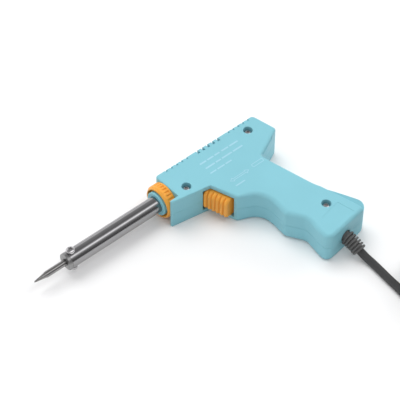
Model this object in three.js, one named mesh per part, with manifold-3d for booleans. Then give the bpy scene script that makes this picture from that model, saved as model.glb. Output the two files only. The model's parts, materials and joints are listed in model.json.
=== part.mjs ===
// Pistol-shaped mains soldering iron with a power-boost trigger, lying on its right side.
//
// Everything is modelled in the gun frame, in millimetres:
//   x runs along the barrel (the tip points to -x), y runs up towards the gun's top edge,
//   z runs across the housing (left side +z), and z = 0 is the parting plane of the two shells.
// The last lines set the whole iron on the table: +Z up, origin under the middle of the iron's box.

import * as THREE from "three";
import { mergeVertices } from "three/addons/utils/BufferGeometryUtils.js";
import Module from "manifold-3d";

const wasm = await Module();
wasm.setup();

// ---------------------------------------------------------------- driving dimensions

const GAP = 0.3; // clearance kept between neighbouring pieces
const HALF_GAP = GAP / 2;

// Housing
const HALF_THICKNESS = 14;
const WALL = 2.2;
const EDGE_ROUND = 2.2;
const FRONT_X = 2.0;
const TOP_Y = 13.0;
const CAVITY_Z = HALF_THICKNESS - WALL;

// Barrel and heater, all centred on the x axis
const BARREL_RADIUS = 7.0;
const BARREL_BORE = 6.4;
const BARREL_FRONT_X = -95.0;
const BARREL_REAR_X = 30.0;
const HOLDER_FACE_X = -97.5;
const HOLDER_REAR_X = -73.0;
const TIP_RADIUS = 2.5;
const TIP_POINT_X = -126.7;
const TIP_CONE_X = -116.0;
const TIP_REAR_X = -58.0;
const TIP_SCREW_X = -91.5;
const TIP_SCREW_TILT = THREE.MathUtils.degToRad(6); // from +z towards the gun's top
const TIP_SCREW_HEAD_RADIUS = 3.6;
const TIP_SCREW_HEAD_HEIGHT = 3.2;
const TIP_SCREW_SHANK_RADIUS = 1.4;
const CORE_FRONT_X = -72.6;
const CORE_REAR_X = -22.0;
const WINDING_FRONT_X = -68.0;
const WINDING_REAR_X = -28.0;
const BUSH_FRONT_X = -14.0;
const BUSH_REAR_X = -4.0;

// Nose neck and the collar nut around it
const NECK_RADIUS = 10.1;
const NECK_FRONT_X = -8.5;
const COLLAR_RADIUS = 14.0;
const COLLAR_FRONT_X = -7.0;
const COLLAR_REAR_X = FRONT_X - GAP;
const COLLAR_NOTCHES = 28;

// Lip under the collar
const LIP_FRONT_X = -6.5;
const LIP_TOP_Y = -COLLAR_RADIUS - GAP;
const LIP_BOTTOM_Y = -16.6;

// Barrel flange and the ribs that trap it
const FLANGE_RADIUS = 10.0;
const FLANGE_FRONT_X = 20.0;
const FLANGE_THICK = 1.6;
const RIB_THICK = 2.2;

// Housing screws: centres in the x-y plane
const HOUSING_SCREWS = {
  front: [13.3, -11.1],
  rear: [90.7, 2.8],
  handle: [81.4, -95.4],
};
const RECESS_RADIUS = 3.8;
const RECESS_FLOOR_Z = 9.7;
const BOSS_RADIUS = 3.7;
const SCREW_HEAD_RADIUS = 3.1;
const SCREW_HEAD_TOP_Z = 12.4;
const SCREW_SHANK_RADIUS = 1.5;
const SCREW_END_Z = -9.0;
const SCREW_HOLE_RADIUS = SCREW_SHANK_RADIUS + GAP;

// Vent notches along the top edge: three groups of five. The middle group opens into the housing
// and the outer ones are blind.
const VENT_PITCH = 5.24;
const VENT_GROUPS = [
  { start: 12.3, depth: 2.6, floorZ: 12.3 },
  { start: 44.7, depth: 4.0, floorZ: 10.8 },
  { start: 77.1, depth: 2.6, floorZ: 12.3 },
];
const VENTS_PER_GROUP = 5;
const VENT_WIDTH = 2.2;

// Trigger, its pivot, spring and switch
const TRIGGER_HALF_WIDTH = 9.2;
const PIVOT = [33.0, -17.0];
const PIVOT_PIN_RADIUS = 1.5;
const PIVOT_PIN_HALF_LENGTH = 11.0;
const TRIGGER_RIBS = 6;
const TRIGGER_RIB_HEIGHT = 1.1;
const TRIGGER_FACE_TOP = [22.5, -20.3];
const TRIGGER_FACE_BOTTOM = [28.2, -41.2];
const TRIGGER_BACK_X = 39.0;
const SLOT_HALF_WIDTH = TRIGGER_HALF_WIDTH + 0.5;
const SPRING_Y = -35.5;
const SPRING_RADIUS = 2.8;
const SPRING_WIRE = 0.4;
const SPRING_TURNS = 5;
const SPRING_SEAT_X = 52.0;
const PLUNGER_Y = -27.0;
const PLUNGER_RADIUS = 1.5;
const SWITCH_FRONT_X = 44.0;
const SWITCH_REAR_X = 62.0;
const SWITCH_Y = [-31.5, -21.5];
const SWITCH_HALF_Z = 5.0;

// Terminal block and cord clamp in the handle
const BLOCK_CENTRE = [71.0, -62.0];
const BLOCK_SIZE = [20.0, 12.0, 10.0];
const POLE_OFFSET = 5.0;
const POLE_SCREW_OFFSET = 3.2;
const CLAMP_Y = -108.0;
const CLAMP_X = 76.0;
const CLAMP_SCREW_OFFSET = 7.0;

// Mains cord
const CORD_RADIUS = 3.2;
const BUTT_EXIT = [78.3, -120.4];
const BUTT_NORMAL = new THREE.Vector3(0.121, -0.993, 0).normalize();
const TABLE_Z = -HALF_THICKNESS;
const COIL_MEAN_RADIUS = 37.0;
const COIL_CENTRE = [118.1, -210.3];
const COIL_BOTTOM = 0.9; // the tie passes under the coil
const COIL_LAYERS = 2;
const COIL_RINGS = 3;
const TIE_THICK = 0.6;
const TIE_WIDTH = 4.0;
const TIE_ANGLE = THREE.MathUtils.degToRad(80);
const PLUG_REAR_Y = -174.0;
const PLUG_LENGTH = 38.0;
const PLUG_WIDTH = 35.3;
const PLUG_THICK = 13.7;
const PIN_SPACING = 18.6;
const PIN_RADIUS = 2.0;
const PIN_CORE_RADIUS = 1.2;
const PIN_SLEEVE_RADIUS = 1.95;
const PIN_LENGTH = 19.0;
const PIN_SLEEVE_LENGTH = 10.0;

// ---------------------------------------------------------------- materials

const PALETTE = {
  blue: [0x8ccbd6, 0.45, 0],
  orange: [0xf0a040, 0.45, 0],
  steel: [0xb9bcc0, 0.25, 1],
  darkSteel: [0x8a8c90, 0.35, 1],
  copper: [0xc8c4bc, 0.3, 1],
  brass: [0xc9a24b, 0.35, 1],
  ceramic: [0xe8e2d4, 0.7, 0],
  mica: [0xc7b184, 0.5, 0],
  black: [0x2b2b2d, 0.55, 0],
  rubber: [0x454443, 0.65, 0],
  cream: [0xe9e4d6, 0.5, 0],
  leadBlue: [0x2f62a8, 0.5, 0],
  leadBrown: [0x6e4226, 0.5, 0],
  leadWhite: [0xe6e6e2, 0.6, 0],
};

const iron = new THREE.Group();
const cordGroup = new THREE.Group();

function addPart(name, geometry, colour, group = iron) {
  const [hex, roughness, metalness] = PALETTE[colour];
  const material = new THREE.MeshStandardMaterial({ color: hex, roughness, metalness });
  const mesh = new THREE.Mesh(geometry, material);
  mesh.name = name;
  group.add(mesh);
  return mesh;
}

// ---------------------------------------------------------------- solids and booleans

// A copy that shares its vertices and holds positions only.
function welded(geometry) {
  const bare = geometry.clone();
  bare.deleteAttribute("normal");
  bare.deleteAttribute("uv");
  return mergeVertices(bare, 1e-4);
}

function toSolid(geometry) {
  const merged = welded(geometry);
  return new wasm.Manifold(
    new wasm.Mesh({
      numProp: 3,
      vertProperties: new Float32Array(merged.attributes.position.array),
      triVerts: new Uint32Array(merged.index.array),
    }),
  );
}

function toGeometry(solid) {
  const mesh = solid.getMesh();
  const geometry = new THREE.BufferGeometry();
  geometry.setAttribute("position", new THREE.BufferAttribute(new Float32Array(mesh.vertProperties), 3));
  geometry.setIndex(new THREE.BufferAttribute(new Uint32Array(mesh.triVerts), 1));
  geometry.computeVertexNormals();
  return geometry;
}

function joined(first, ...others) {
  return toGeometry(others.reduce((sum, other) => sum.add(toSolid(other)), toSolid(first)));
}

function cut(first, ...tools) {
  return toGeometry(tools.reduce((rest, tool) => rest.subtract(toSolid(tool)), toSolid(first)));
}

function common(first, second) {
  return toGeometry(toSolid(first).intersect(toSolid(second)));
}

// ---------------------------------------------------------------- shape helpers

function boxBetween([x0, y0, z0], [x1, y1, z1]) {
  const box = new THREE.BoxGeometry(x1 - x0, y1 - y0, z1 - z0);
  return box.translate((x0 + x1) / 2, (y0 + y1) / 2, (z0 + z1) / 2);
}

// A cylinder whose axis is parallel to z.
function postZ([x, y], radius, z0, z1, sides = 18) {
  const post = new THREE.CylinderGeometry(radius, radius, z1 - z0, sides);
  return post.rotateX(Math.PI / 2).translate(x, y, (z0 + z1) / 2);
}

// A cylinder whose axis is parallel to x.
function rodX(radius, x0, x1, y = 0, z = 0, sides = 24) {
  const rod = new THREE.CylinderGeometry(radius, radius, x1 - x0, sides);
  return rod.rotateZ(Math.PI / 2).translate((x0 + x1) / 2, y, z);
}

// A cylinder whose axis is parallel to y.
function rodY(radius, y0, y1, x, z, sides = 12) {
  const rod = new THREE.CylinderGeometry(radius, radius, y1 - y0, sides);
  return rod.translate(x, (y0 + y1) / 2, z);
}

// A solid of revolution about the x axis, from [x, radius] points that run from front to rear
// along the outside and, for a hollow piece, back along the bore.
function turnedX(points, sides = 24) {
  const profile = points.map(([x, radius]) => new THREE.Vector2(radius, x));
  return facingOut(welded(new THREE.LatheGeometry(profile, sides).rotateZ(-Math.PI / 2)));
}

function ringX(outer, bore, x0, x1, sides = 24) {
  return turnedX([[x0, bore], [x0, outer], [x1, outer], [x1, bore], [x0, bore]].reverse(), sides);
}

// Points of a closed outline with rounded corners. Corners are [x, y, radius, steps], listed
// clockwise; inset moves every side inwards and keeps each fillet concentric.
function roundedOutline(corners, inset = 0) {
  const count = corners.length;
  const sides = corners.map(([x, y], i) => {
    const [nextX, nextY] = corners[(i + 1) % count];
    const along = new THREE.Vector2(nextX - x, nextY - y).normalize();
    const inward = new THREE.Vector2(along.y, -along.x);
    const start = new THREE.Vector2(x, y).addScaledVector(inward, inset);
    return { along, inward, start };
  });
  const outline = [];
  corners.forEach(([, , radius, steps = 4], i) => {
    const before = sides[(i + count - 1) % count];
    const after = sides[i];
    const cross = before.along.cross(after.along);
    const offset = after.start.clone().sub(before.start);
    const reach = offset.cross(after.along) / cross;
    const corner = before.start.clone().addScaledVector(before.along, reach);
    const convex = cross < 0;
    const fillet = Math.max(convex ? radius - inset : radius + inset, 0.4);
    const turn = Math.acos(THREE.MathUtils.clamp(before.along.dot(after.along), -1, 1));
    const tangent = fillet * Math.tan(turn / 2);
    const side = convex ? 1 : -1;
    const begin = corner.clone().addScaledVector(before.along, -tangent);
    const centre = begin.clone().addScaledVector(before.inward, side * fillet);
    const spoke = begin.clone().sub(centre);
    for (let step = 0; step <= steps; step += 1) {
      const angle = (-side * turn * step) / steps;
      outline.push(spoke.clone().rotateAround(new THREE.Vector2(), angle).add(centre));
    }
  });
  return outline;
}

// A closed solid through a stack of outlines that have the same number of points.
// Levels are { outline, z }, from low z to high z; outlines run clockwise.
function stacked(levels) {
  const count = levels[0].outline.length;
  const positions = [];
  const index = [];
  levels.forEach(({ outline, z }) => outline.forEach((p) => positions.push(p.x, p.y, z)));
  for (let level = 0; level + 1 < levels.length; level += 1) {
    for (let i = 0; i < count; i += 1) {
      const a = level * count + i;
      const b = level * count + ((i + 1) % count);
      index.push(a, a + count, b, b, a + count, b + count);
    }
  }
  const top = (levels.length - 1) * count;
  const highest = levels[levels.length - 1].outline;
  THREE.ShapeUtils.triangulateShape(levels[0].outline, []).forEach(([a, b, c]) => index.push(a, c, b));
  THREE.ShapeUtils.triangulateShape(highest, []).forEach(([a, b, c]) => index.push(top + a, top + b, top + c));
  const geometry = new THREE.BufferGeometry();
  geometry.setAttribute("position", new THREE.Float32BufferAttribute(positions, 3));
  geometry.setIndex(index);
  return facingOut(geometry);
}

// Turns every triangle round when a closed mesh encloses a negative volume.
function facingOut(geometry) {
  const position = geometry.attributes.position;
  const order = geometry.index.array;
  const [a, b, c] = [new THREE.Vector3(), new THREE.Vector3(), new THREE.Vector3()];
  let volume = 0;
  for (let i = 0; i < order.length; i += 3) {
    a.fromBufferAttribute(position, order[i]);
    b.fromBufferAttribute(position, order[i + 1]);
    c.fromBufferAttribute(position, order[i + 2]);
    volume += a.dot(b.cross(c));
  }
  if (volume < 0) {
    for (let i = 0; i < order.length; i += 3) {
      [order[i + 1], order[i + 2]] = [order[i + 2], order[i + 1]];
    }
  }
  geometry.computeVertexNormals();
  return geometry;
}

// A slab with an outline in x-y and one rounded or bevelled edge at each end that asks for it.
function slab(corners, z0, z1, { lowRound = 0, highRound = 0, inset = 0 } = {}) {
  const ARC = [1, 0.5, 0]; // quarter round in two steps
  const levels = [];
  const level = (extra, z) => levels.push({ outline: roundedOutline(corners, inset + extra), z });
  if (lowRound > 0) {
    ARC.forEach((share) => {
      const angle = (share * Math.PI) / 2;
      level(lowRound * (1 - Math.cos(angle)), z0 + lowRound * (1 - Math.sin(angle)));
    });
  } else {
    level(0, z0);
  }
  if (highRound > 0) {
    [...ARC].reverse().forEach((share) => {
      const angle = (share * Math.PI) / 2;
      level(highRound * (1 - Math.cos(angle)), z1 - highRound * (1 - Math.sin(angle)));
    });
  } else {
    level(0, z1);
  }
  return stacked(levels);
}

function circleShape(radius, sides) {
  const shape = new THREE.Shape();
  for (let i = 0; i < sides; i += 1) {
    const angle = (2 * Math.PI * i) / sides;
    shape[i === 0 ? "moveTo" : "lineTo"](radius * Math.cos(angle), radius * Math.sin(angle));
  }
  shape.closePath();
  return shape;
}

// A round wire or cord along a smooth curve.
function tube(curve, radius, steps, sides) {
  return new THREE.ExtrudeGeometry(circleShape(radius, sides), { extrudePath: curve, steps, bevelEnabled: false });
}

function smoothCurve(points) {
  return new THREE.CatmullRomCurve3(points.map((p) => new THREE.Vector3(...p)), false, "centripetal");
}

// ---------------------------------------------------------------- housing shells

// Side outline of barrel housing and grip, clockwise from the front top corner.
const HOUSING_OUTLINE = [
  [FRONT_X, TOP_Y, 2.4, 2],
  [104.8, TOP_Y, 3.5, 3],
  [109.3, -10.5, 3.0, 3],
  [79.4, -24.8, 3.0, 3],
  [89.6, -74.0, 40.0, 2],
  [107.6, -117.08, 8.0, 4],
  [56.8, -123.1, 5.5, 4],
  [57.5, -111.5, 12.0, 1],
  [60.2, -97.0, 10.0, 3],
  [51.0, -82.2, 5.0, 3],
  [52.9, -68.0, 25.0, 1],
  [52.8, -55.2, 16.0, 5],
  [35.2, -45.6, 2.6, 3],
  [27.9, -22.7, 0.8, 1],
  [FRONT_X, -18.1, 1.2, 1],
];

// Low step along the back edge of the grip, widening towards the butt.
const LEDGE_DEPTH = 1.2;
const LEDGE_OUTLINE = [
  [90.6, -76.5, 0, 1],
  [120.0, -76.5, 0, 1],
  [120.0, -126.0, 0, 1],
  [97.9, -126.0, 0, 1],
  [99.4, -114.5, 0, 1],
];

// Groove under the rolled edge of the housing's tail, from the grip to the rear.
const TAIL_GROOVE_Z = [10.7, 12.2];
const TAIL_GROOVE_OUTLINE = [
  [82.4, -22.4, 0, 1],
  [101.0, -13.9, 0, 1],
  [101.4, -15.6, 0, 1],
  [83.2, -24.2, 0, 1],
];

const TRIGGER_SLOT_OUTLINE = [
  [21.0, -12.5, 0.5, 1],
  [46.0, -12.5, 0.5, 1],
  [46.0, -42.8, 0.5, 1],
  [26.0, -42.8, 0.5, 1],
  [21.0, -26.0, 0.5, 1],
];

// The rigid features that both shells share, built on the +z side and mirrored for the other.
function shellBlank() {
  const outside = slab(HOUSING_OUTLINE, HALF_GAP, HALF_THICKNESS, { highRound: EDGE_ROUND });
  const cavity = slab(HOUSING_OUTLINE, -1, CAVITY_Z, { inset: WALL });
  const lipCorners = [
    [FRONT_X + 2, LIP_TOP_Y, 0.3, 1],
    [FRONT_X + 2, -18.4, 0.3, 1],
    [LIP_FRONT_X, LIP_BOTTOM_Y, 0.5, 2],
    [LIP_FRONT_X, LIP_TOP_Y, 0.5, 2],
  ];
  const lip = slab(lipCorners, HALF_GAP, HALF_THICKNESS, { highRound: 0.6 });
  const upperHalf = boxBetween([-20, -30, HALF_GAP], [40, 30, 30]);
  const neck = common(rodX(NECK_RADIUS, NECK_FRONT_X, FRONT_X + 4, 0, 0, 28), upperHalf);
  const ribs = [FLANGE_FRONT_X - GAP - RIB_THICK, FLANGE_FRONT_X + FLANGE_THICK + GAP].map((x) =>
    boxBetween([x, -12, HALF_GAP], [x + RIB_THICK, TOP_Y - 1, CAVITY_Z + 1]),
  );
  const frontRib = boxBetween([FRONT_X + 1, -12, HALF_GAP], [FRONT_X + 4, TOP_Y - 1, CAVITY_Z + 1]);
  const springSeat = boxBetween([SPRING_SEAT_X, -39, HALF_GAP], [SPRING_SEAT_X + 1.6, -31.8, CAVITY_Z + 1]);
  const switchPad = boxBetween([48, -30, SWITCH_HALF_Z + GAP], [58, -23, CAVITY_Z + 1]);
  const pivotBoss = postZ(PIVOT, 3.2, SLOT_HALF_WIDTH + 0.2, CAVITY_Z + 1, 16);
  const whole = joined(cut(outside, cavity), lip, neck, ...ribs, frontRib, springSeat, switchPad, pivotBoss);
  const slot = slab(TRIGGER_SLOT_OUTLINE, -1, SLOT_HALF_WIDTH);
  const bore = rodX(BARREL_RADIUS + GAP, -20, 40);
  const pinHole = postZ(PIVOT, PIVOT_PIN_RADIUS + GAP, -1, PIVOT_PIN_HALF_LENGTH + GAP, 16);
  const ledge = slab(LEDGE_OUTLINE, HALF_THICKNESS - LEDGE_DEPTH, HALF_THICKNESS + 1);
  const tailGroove = slab(TAIL_GROOVE_OUTLINE, ...TAIL_GROOVE_Z);
  return cut(whole, bore, slot, pinHole, cordExitHole(), ledge, tailGroove, ...ventTools());
}

function ventTools() {
  return VENT_GROUPS.flatMap(({ start, depth, floorZ }) =>
    Array.from({ length: VENTS_PER_GROUP }, (_, i) => {
      const x = start + i * VENT_PITCH;
      return boxBetween(
        [x - VENT_WIDTH / 2, TOP_Y - depth, floorZ],
        [x + VENT_WIDTH / 2, TOP_Y + 1, HALF_THICKNESS + 1],
      );
    }),
  );
}

function cordExitHole() {
  const hole = new THREE.CylinderGeometry(5.4, 5.4, 10, 18);
  const turn = new THREE.Quaternion().setFromUnitVectors(new THREE.Vector3(0, 1, 0), BUTT_NORMAL);
  return hole.applyQuaternion(turn).translate(BUTT_EXIT[0], BUTT_EXIT[1], 0);
}

function mirroredZ(geometry) {
  return facingOut(toGeometry(toSolid(geometry).mirror([0, 0, 1])));
}

// The left shell carries the screw recesses.
function leftShell(blank) {
  const centres = Object.values(HOUSING_SCREWS);
  const columns = centres.map((c) => postZ(c, BOSS_RADIUS, HALF_GAP, CAVITY_Z + 1));
  const cups = centres.map((c) => postZ(c, RECESS_RADIUS + 1.2, RECESS_FLOOR_Z - 1.2, CAVITY_Z + 1));
  const barrelRoom = rodX(BARREL_RADIUS + GAP, -20, 40);
  const shell = cut(joined(blank, ...columns, ...cups), barrelRoom);
  const recesses = centres.map((c) => postZ(c, RECESS_RADIUS, RECESS_FLOOR_Z, HALF_THICKNESS + 1));
  const holes = centres.map((c) => postZ(c, SCREW_HOLE_RADIUS, -1, RECESS_FLOOR_Z + 1, 16));
  return cut(shell, ...recesses, ...holes);
}

// The right shell carries the screw posts, the cord saddle and the clamp posts.
function rightShell(blank) {
  const base = -CAVITY_Z - 1;
  const centres = Object.values(HOUSING_SCREWS);
  const posts = centres.map((c) => postZ(c, BOSS_RADIUS, base, -HALF_GAP));
  const saddle = boxBetween([CLAMP_X - 4, CLAMP_Y - 2, base], [CLAMP_X + 4, CLAMP_Y + 2, -CORD_RADIUS - GAP]);
  const clampPosts = [-1, 1].map((side) => {
    return postZ([CLAMP_X + side * CLAMP_SCREW_OFFSET, CLAMP_Y], 2.6, base, CORD_RADIUS, 16);
  });
  const blockPads = boxBetween(
    [BLOCK_CENTRE[0] - 8, BLOCK_CENTRE[1] - 4, base],
    [BLOCK_CENTRE[0] + 8, BLOCK_CENTRE[1] + 4, -BLOCK_SIZE[2] / 2 - GAP],
  );
  const shell = joined(mirroredZ(blank), ...posts, saddle, ...clampPosts, blockPads);
  const holes = centres.map((c) => postZ(c, SCREW_HOLE_RADIUS, SCREW_END_Z - GAP, 1, 16));
  const clampHoles = [-1, 1].map((side) => {
    return postZ([CLAMP_X + side * CLAMP_SCREW_OFFSET, CLAMP_Y], 1.4, -7, CORD_RADIUS + 1, 12);
  });
  return cut(shell, ...holes, ...clampHoles);
}

// A screw along z with a domed head and a cross recess, its head facing +z.
function crossHeadScrew([x, y], { headRadius, headTop, headHeight, shankRadius, end, sides = 14 }) {
  const under = headTop - headHeight;
  const profile = [
    [0, end],
    [shankRadius * 0.4, end],
    [shankRadius, end + shankRadius],
    [shankRadius, under],
    [headRadius, under],
    [headRadius, under + headHeight * 0.45],
    [headRadius * 0.72, headTop - headHeight * 0.12],
    [0, headTop],
  ].map(([radius, z]) => new THREE.Vector2(radius, z));
  const body = facingOut(welded(new THREE.LatheGeometry(profile, sides).rotateX(Math.PI / 2)));
  const reach = headRadius * 0.62;
  const half = headRadius * 0.14;
  const floor = headTop - headHeight * 0.7;
  const slots = [
    boxBetween([-reach, -half, floor], [reach, half, headTop + 1]),
    boxBetween([-half, -reach, floor], [half, reach, headTop + 1]),
  ];
  return cut(body, ...slots).translate(x, y, 0);
}

function addHousing() {
  const blank = shellBlank();
  addPart("left_shell", leftShell(blank), "blue");
  addPart("right_shell", rightShell(blank), "blue");
  Object.entries(HOUSING_SCREWS).forEach(([place, centre]) => {
    const screw = crossHeadScrew(centre, {
      headRadius: SCREW_HEAD_RADIUS,
      headTop: SCREW_HEAD_TOP_Z,
      headHeight: SCREW_HEAD_TOP_Z - RECESS_FLOOR_Z - GAP,
      shankRadius: SCREW_SHANK_RADIUS,
      end: SCREW_END_Z,
    });
    addPart(`housing_screw_${place}`, screw, "darkSteel");
  });
}

// ---------------------------------------------------------------- collar nut

function collarOutline(inset) {
  const points = [];
  const NOTCH_DEPTH = 0.55;
  const corners = [
    [0.0, 0],
    [0.6, 0],
    [0.8, NOTCH_DEPTH],
  ];
  for (let notch = 0; notch < COLLAR_NOTCHES; notch += 1) {
    corners.forEach(([share, depth]) => {
      const angle = (-2 * Math.PI * (notch + share)) / COLLAR_NOTCHES;
      const radius = COLLAR_RADIUS - inset - depth;
      points.push(new THREE.Vector2(radius * Math.cos(angle), radius * Math.sin(angle)));
    });
  }
  return points;
}

function addCollar() {
  const length = COLLAR_REAR_X - COLLAR_FRONT_X;
  const ring = stacked([
    { outline: collarOutline(1.2), z: 0 },
    { outline: collarOutline(0), z: 1.5 },
    { outline: collarOutline(0), z: length },
  ]);
  ring.rotateY(Math.PI / 2).translate(COLLAR_FRONT_X, 0, 0);
  const bore = rodX(NECK_RADIUS + GAP, COLLAR_FRONT_X - 1, COLLAR_REAR_X + 1, 0, 0, 28);
  addPart("collar_nut", cut(ring, bore), "orange");
}

// ---------------------------------------------------------------- barrel, heater and tip

// A cross bore through the barrel wall at the tip screws, along the tilted screw axis.
function tipScrewBore(radius) {
  const bore = new THREE.CylinderGeometry(radius, radius, 40, 16).rotateX(Math.PI / 2);
  return bore.rotateX(-TIP_SCREW_TILT).translate(TIP_SCREW_X, 0, 0);
}

function addBarrel() {
  const screwBore = tipScrewBore(TIP_SCREW_SHANK_RADIUS + GAP);
  const tubeBlank = ringX(BARREL_RADIUS, BARREL_BORE, BARREL_FRONT_X, BARREL_REAR_X);
  addPart("barrel_tube", cut(tubeBlank, screwBore), "steel");

  const flange = ringX(FLANGE_RADIUS, BARREL_RADIUS + GAP, FLANGE_FRONT_X, FLANGE_FRONT_X + FLANGE_THICK);
  addPart("barrel_flange", flange, "darkSteel");

  const plug = turnedX([
    [HOLDER_FACE_X, 0],
    [HOLDER_FACE_X, BARREL_RADIUS - 0.4],
    [HOLDER_FACE_X + 0.4, BARREL_RADIUS],
    [BARREL_FRONT_X - GAP, BARREL_RADIUS],
    [BARREL_FRONT_X - GAP, BARREL_BORE - GAP],
    [HOLDER_REAR_X, BARREL_BORE - GAP],
    [HOLDER_REAR_X, 0],
  ].reverse());
  const tipBore = rodX(TIP_RADIUS + GAP, HOLDER_FACE_X - 1, HOLDER_REAR_X + 1);
  addPart("tip_holder", cut(plug, tipBore, screwBore), "darkSteel");

  const tip = turnedX([
    [TIP_POINT_X, 0],
    [TIP_POINT_X + 0.1, 0.45],
    [TIP_CONE_X - 0.4, TIP_RADIUS - 0.35],
    [TIP_CONE_X, TIP_RADIUS],
    [TIP_REAR_X, TIP_RADIUS],
    [TIP_REAR_X, 0],
  ].reverse(), 16);
  addPart("soldering_tip", tip, "copper");

  [["upper", 0], ["lower", Math.PI]].forEach(([place, flip]) => {
    const screw = crossHeadScrew([0, 0], {
      headRadius: TIP_SCREW_HEAD_RADIUS,
      headTop: BARREL_RADIUS + GAP + TIP_SCREW_HEAD_HEIGHT,
      headHeight: TIP_SCREW_HEAD_HEIGHT,
      shankRadius: TIP_SCREW_SHANK_RADIUS,
      end: TIP_RADIUS + GAP,
    });
    screw.rotateX(flip - TIP_SCREW_TILT).translate(TIP_SCREW_X, 0, 0);
    addPart(`tip_screw_${place}`, screw, "darkSteel");
  });
}

function addHeater() {
  const coreOuter = 4.2;
  const windingOuter = 5.1;
  const micaOuter = BARREL_BORE - GAP;
  addPart("heater_core", ringX(coreOuter, TIP_RADIUS + GAP, CORE_FRONT_X, CORE_REAR_X, 16), "ceramic");

  // The winding is a sleeve whose outside rises and falls with its bunched turns.
  const bunches = 6;
  const outside = [];
  for (let i = 0; i <= bunches * 2; i += 1) {
    const x = THREE.MathUtils.lerp(WINDING_FRONT_X, WINDING_REAR_X, i / (bunches * 2));
    outside.push([x, i % 2 === 0 ? windingOuter - 0.35 : windingOuter]);
  }
  const bore = [[WINDING_REAR_X, coreOuter + GAP], [WINDING_FRONT_X, coreOuter + GAP]];
  const profile = [...outside, ...bore, outside[0]];
  addPart("heater_winding", turnedX(profile.reverse(), 12), "darkSteel");

  const mica = ringX(micaOuter, windingOuter + GAP, CORE_FRONT_X + GAP, CORE_REAR_X, 16);
  addPart("mica_sleeve", mica, "mica");

  const bush = rodX(BARREL_BORE - GAP, BUSH_FRONT_X, BUSH_REAR_X, 0, 0, 16);
  const leadHoles = [-1, 1].map((side) => rodX(1.2, BUSH_FRONT_X - 1, BUSH_REAR_X + 1, 0, side * 3, 8));
  addPart("lead_bush", cut(bush, ...leadHoles), "ceramic");
}

// ---------------------------------------------------------------- trigger, spring and switch

// Side outline of the trigger: ribbed finger face, closed end, back wall and pivot lug.
function triggerOutline() {
  const points = [];
  const faceTop = new THREE.Vector2(...TRIGGER_FACE_TOP);
  const faceBottom = new THREE.Vector2(...TRIGGER_FACE_BOTTOM);
  const face = faceBottom.clone().sub(faceTop);
  const outward = new THREE.Vector2(face.y, -face.x).normalize();
  const steps = 3;
  for (let i = 0; i <= TRIGGER_RIBS * steps; i += 1) {
    const share = i / (TRIGGER_RIBS * steps);
    const swell = Math.abs(Math.sin(share * TRIGGER_RIBS * Math.PI)) ** 0.6;
    const point = faceTop.clone().addScaledVector(face, share);
    points.push(point.addScaledVector(outward, TRIGGER_RIB_HEIGHT * swell));
  }
  points.push(new THREE.Vector2(37.6, -41.7));
  points.push(new THREE.Vector2(37.6, -44.0));
  points.push(new THREE.Vector2(TRIGGER_BACK_X, -44.0));
  points.push(new THREE.Vector2(TRIGGER_BACK_X, -20.0));
  points.push(new THREE.Vector2(37.0, -14.0));
  points.push(new THREE.Vector2(31.0, -13.4));
  return points;
}

// A compression spring along x.
class SpringCurve extends THREE.Curve {
  getPoint(t, target = new THREE.Vector3()) {
    const angle = 2 * Math.PI * SPRING_TURNS * t;
    const front = TRIGGER_BACK_X + GAP + SPRING_WIRE;
    const rear = SPRING_SEAT_X - GAP - SPRING_WIRE;
    const x = THREE.MathUtils.lerp(front, rear, t);
    return target.set(x, SPRING_Y + SPRING_RADIUS * Math.cos(angle), SPRING_RADIUS * Math.sin(angle));
  }
}

function addTriggerGroup() {
  const shape = new THREE.Shape(triggerOutline());
  const bevel = 0.5;
  const blank = new THREE.ExtrudeGeometry(shape, {
    depth: 2 * (TRIGGER_HALF_WIDTH - bevel),
    bevelEnabled: true,
    bevelThickness: bevel,
    bevelSize: bevel,
    bevelOffset: -bevel,
    bevelSegments: 1,
  }).translate(0, 0, bevel - TRIGGER_HALF_WIDTH);
  const pinHole = postZ(PIVOT, PIVOT_PIN_RADIUS + GAP, -20, 20, 16);
  addPart("trigger", cut(blank, pinHole), "orange");

  const pin = postZ(PIVOT, PIVOT_PIN_RADIUS, -PIVOT_PIN_HALF_LENGTH, PIVOT_PIN_HALF_LENGTH, 16);
  addPart("trigger_pin", pin, "steel");

  const spring = tube(new SpringCurve(), SPRING_WIRE, SPRING_TURNS * 10, 5);
  addPart("trigger_spring", spring, "steel");

  const plungerFront = TRIGGER_BACK_X + GAP;
  const plungerRear = SWITCH_FRONT_X + 3;
  addPart("switch_plunger", rodX(PLUNGER_RADIUS, plungerFront, plungerRear, PLUNGER_Y, 0, 16), "orange");

  const body = boxBetween(
    [SWITCH_FRONT_X, SWITCH_Y[0], -SWITCH_HALF_Z],
    [SWITCH_REAR_X, SWITCH_Y[1], SWITCH_HALF_Z],
  );
  const well = rodX(PLUNGER_RADIUS + GAP, SWITCH_FRONT_X - 1, plungerRear + 4, PLUNGER_Y, 0, 16);
  addPart("switch_body", cut(body, well), "black");

  [["upper", -24.0], ["lower", -29.0]].forEach(([place, y]) => {
    const blade = boxBetween([SWITCH_REAR_X + GAP, y - 0.4, -2], [SWITCH_REAR_X + 6, y + 0.4, 2]);
    addPart(`switch_terminal_${place}`, blade, "brass");
  });

  const diodeX = SWITCH_REAR_X + 8.5;
  const profile = [
    [0, -33], [0.4, -33], [0.4, -29.1], [1.4, -29.1], [1.4, -23.9], [0.4, -23.9], [0.4, -20], [0, -20],
  ].map(([radius, y]) => new THREE.Vector2(radius, y));
  const diode = new THREE.LatheGeometry(profile, 10).translate(diodeX, 0, 0);
  addPart("boost_diode", facingOut(welded(diode)), "black");
}

// ---------------------------------------------------------------- terminal block, clamp and leads

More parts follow.
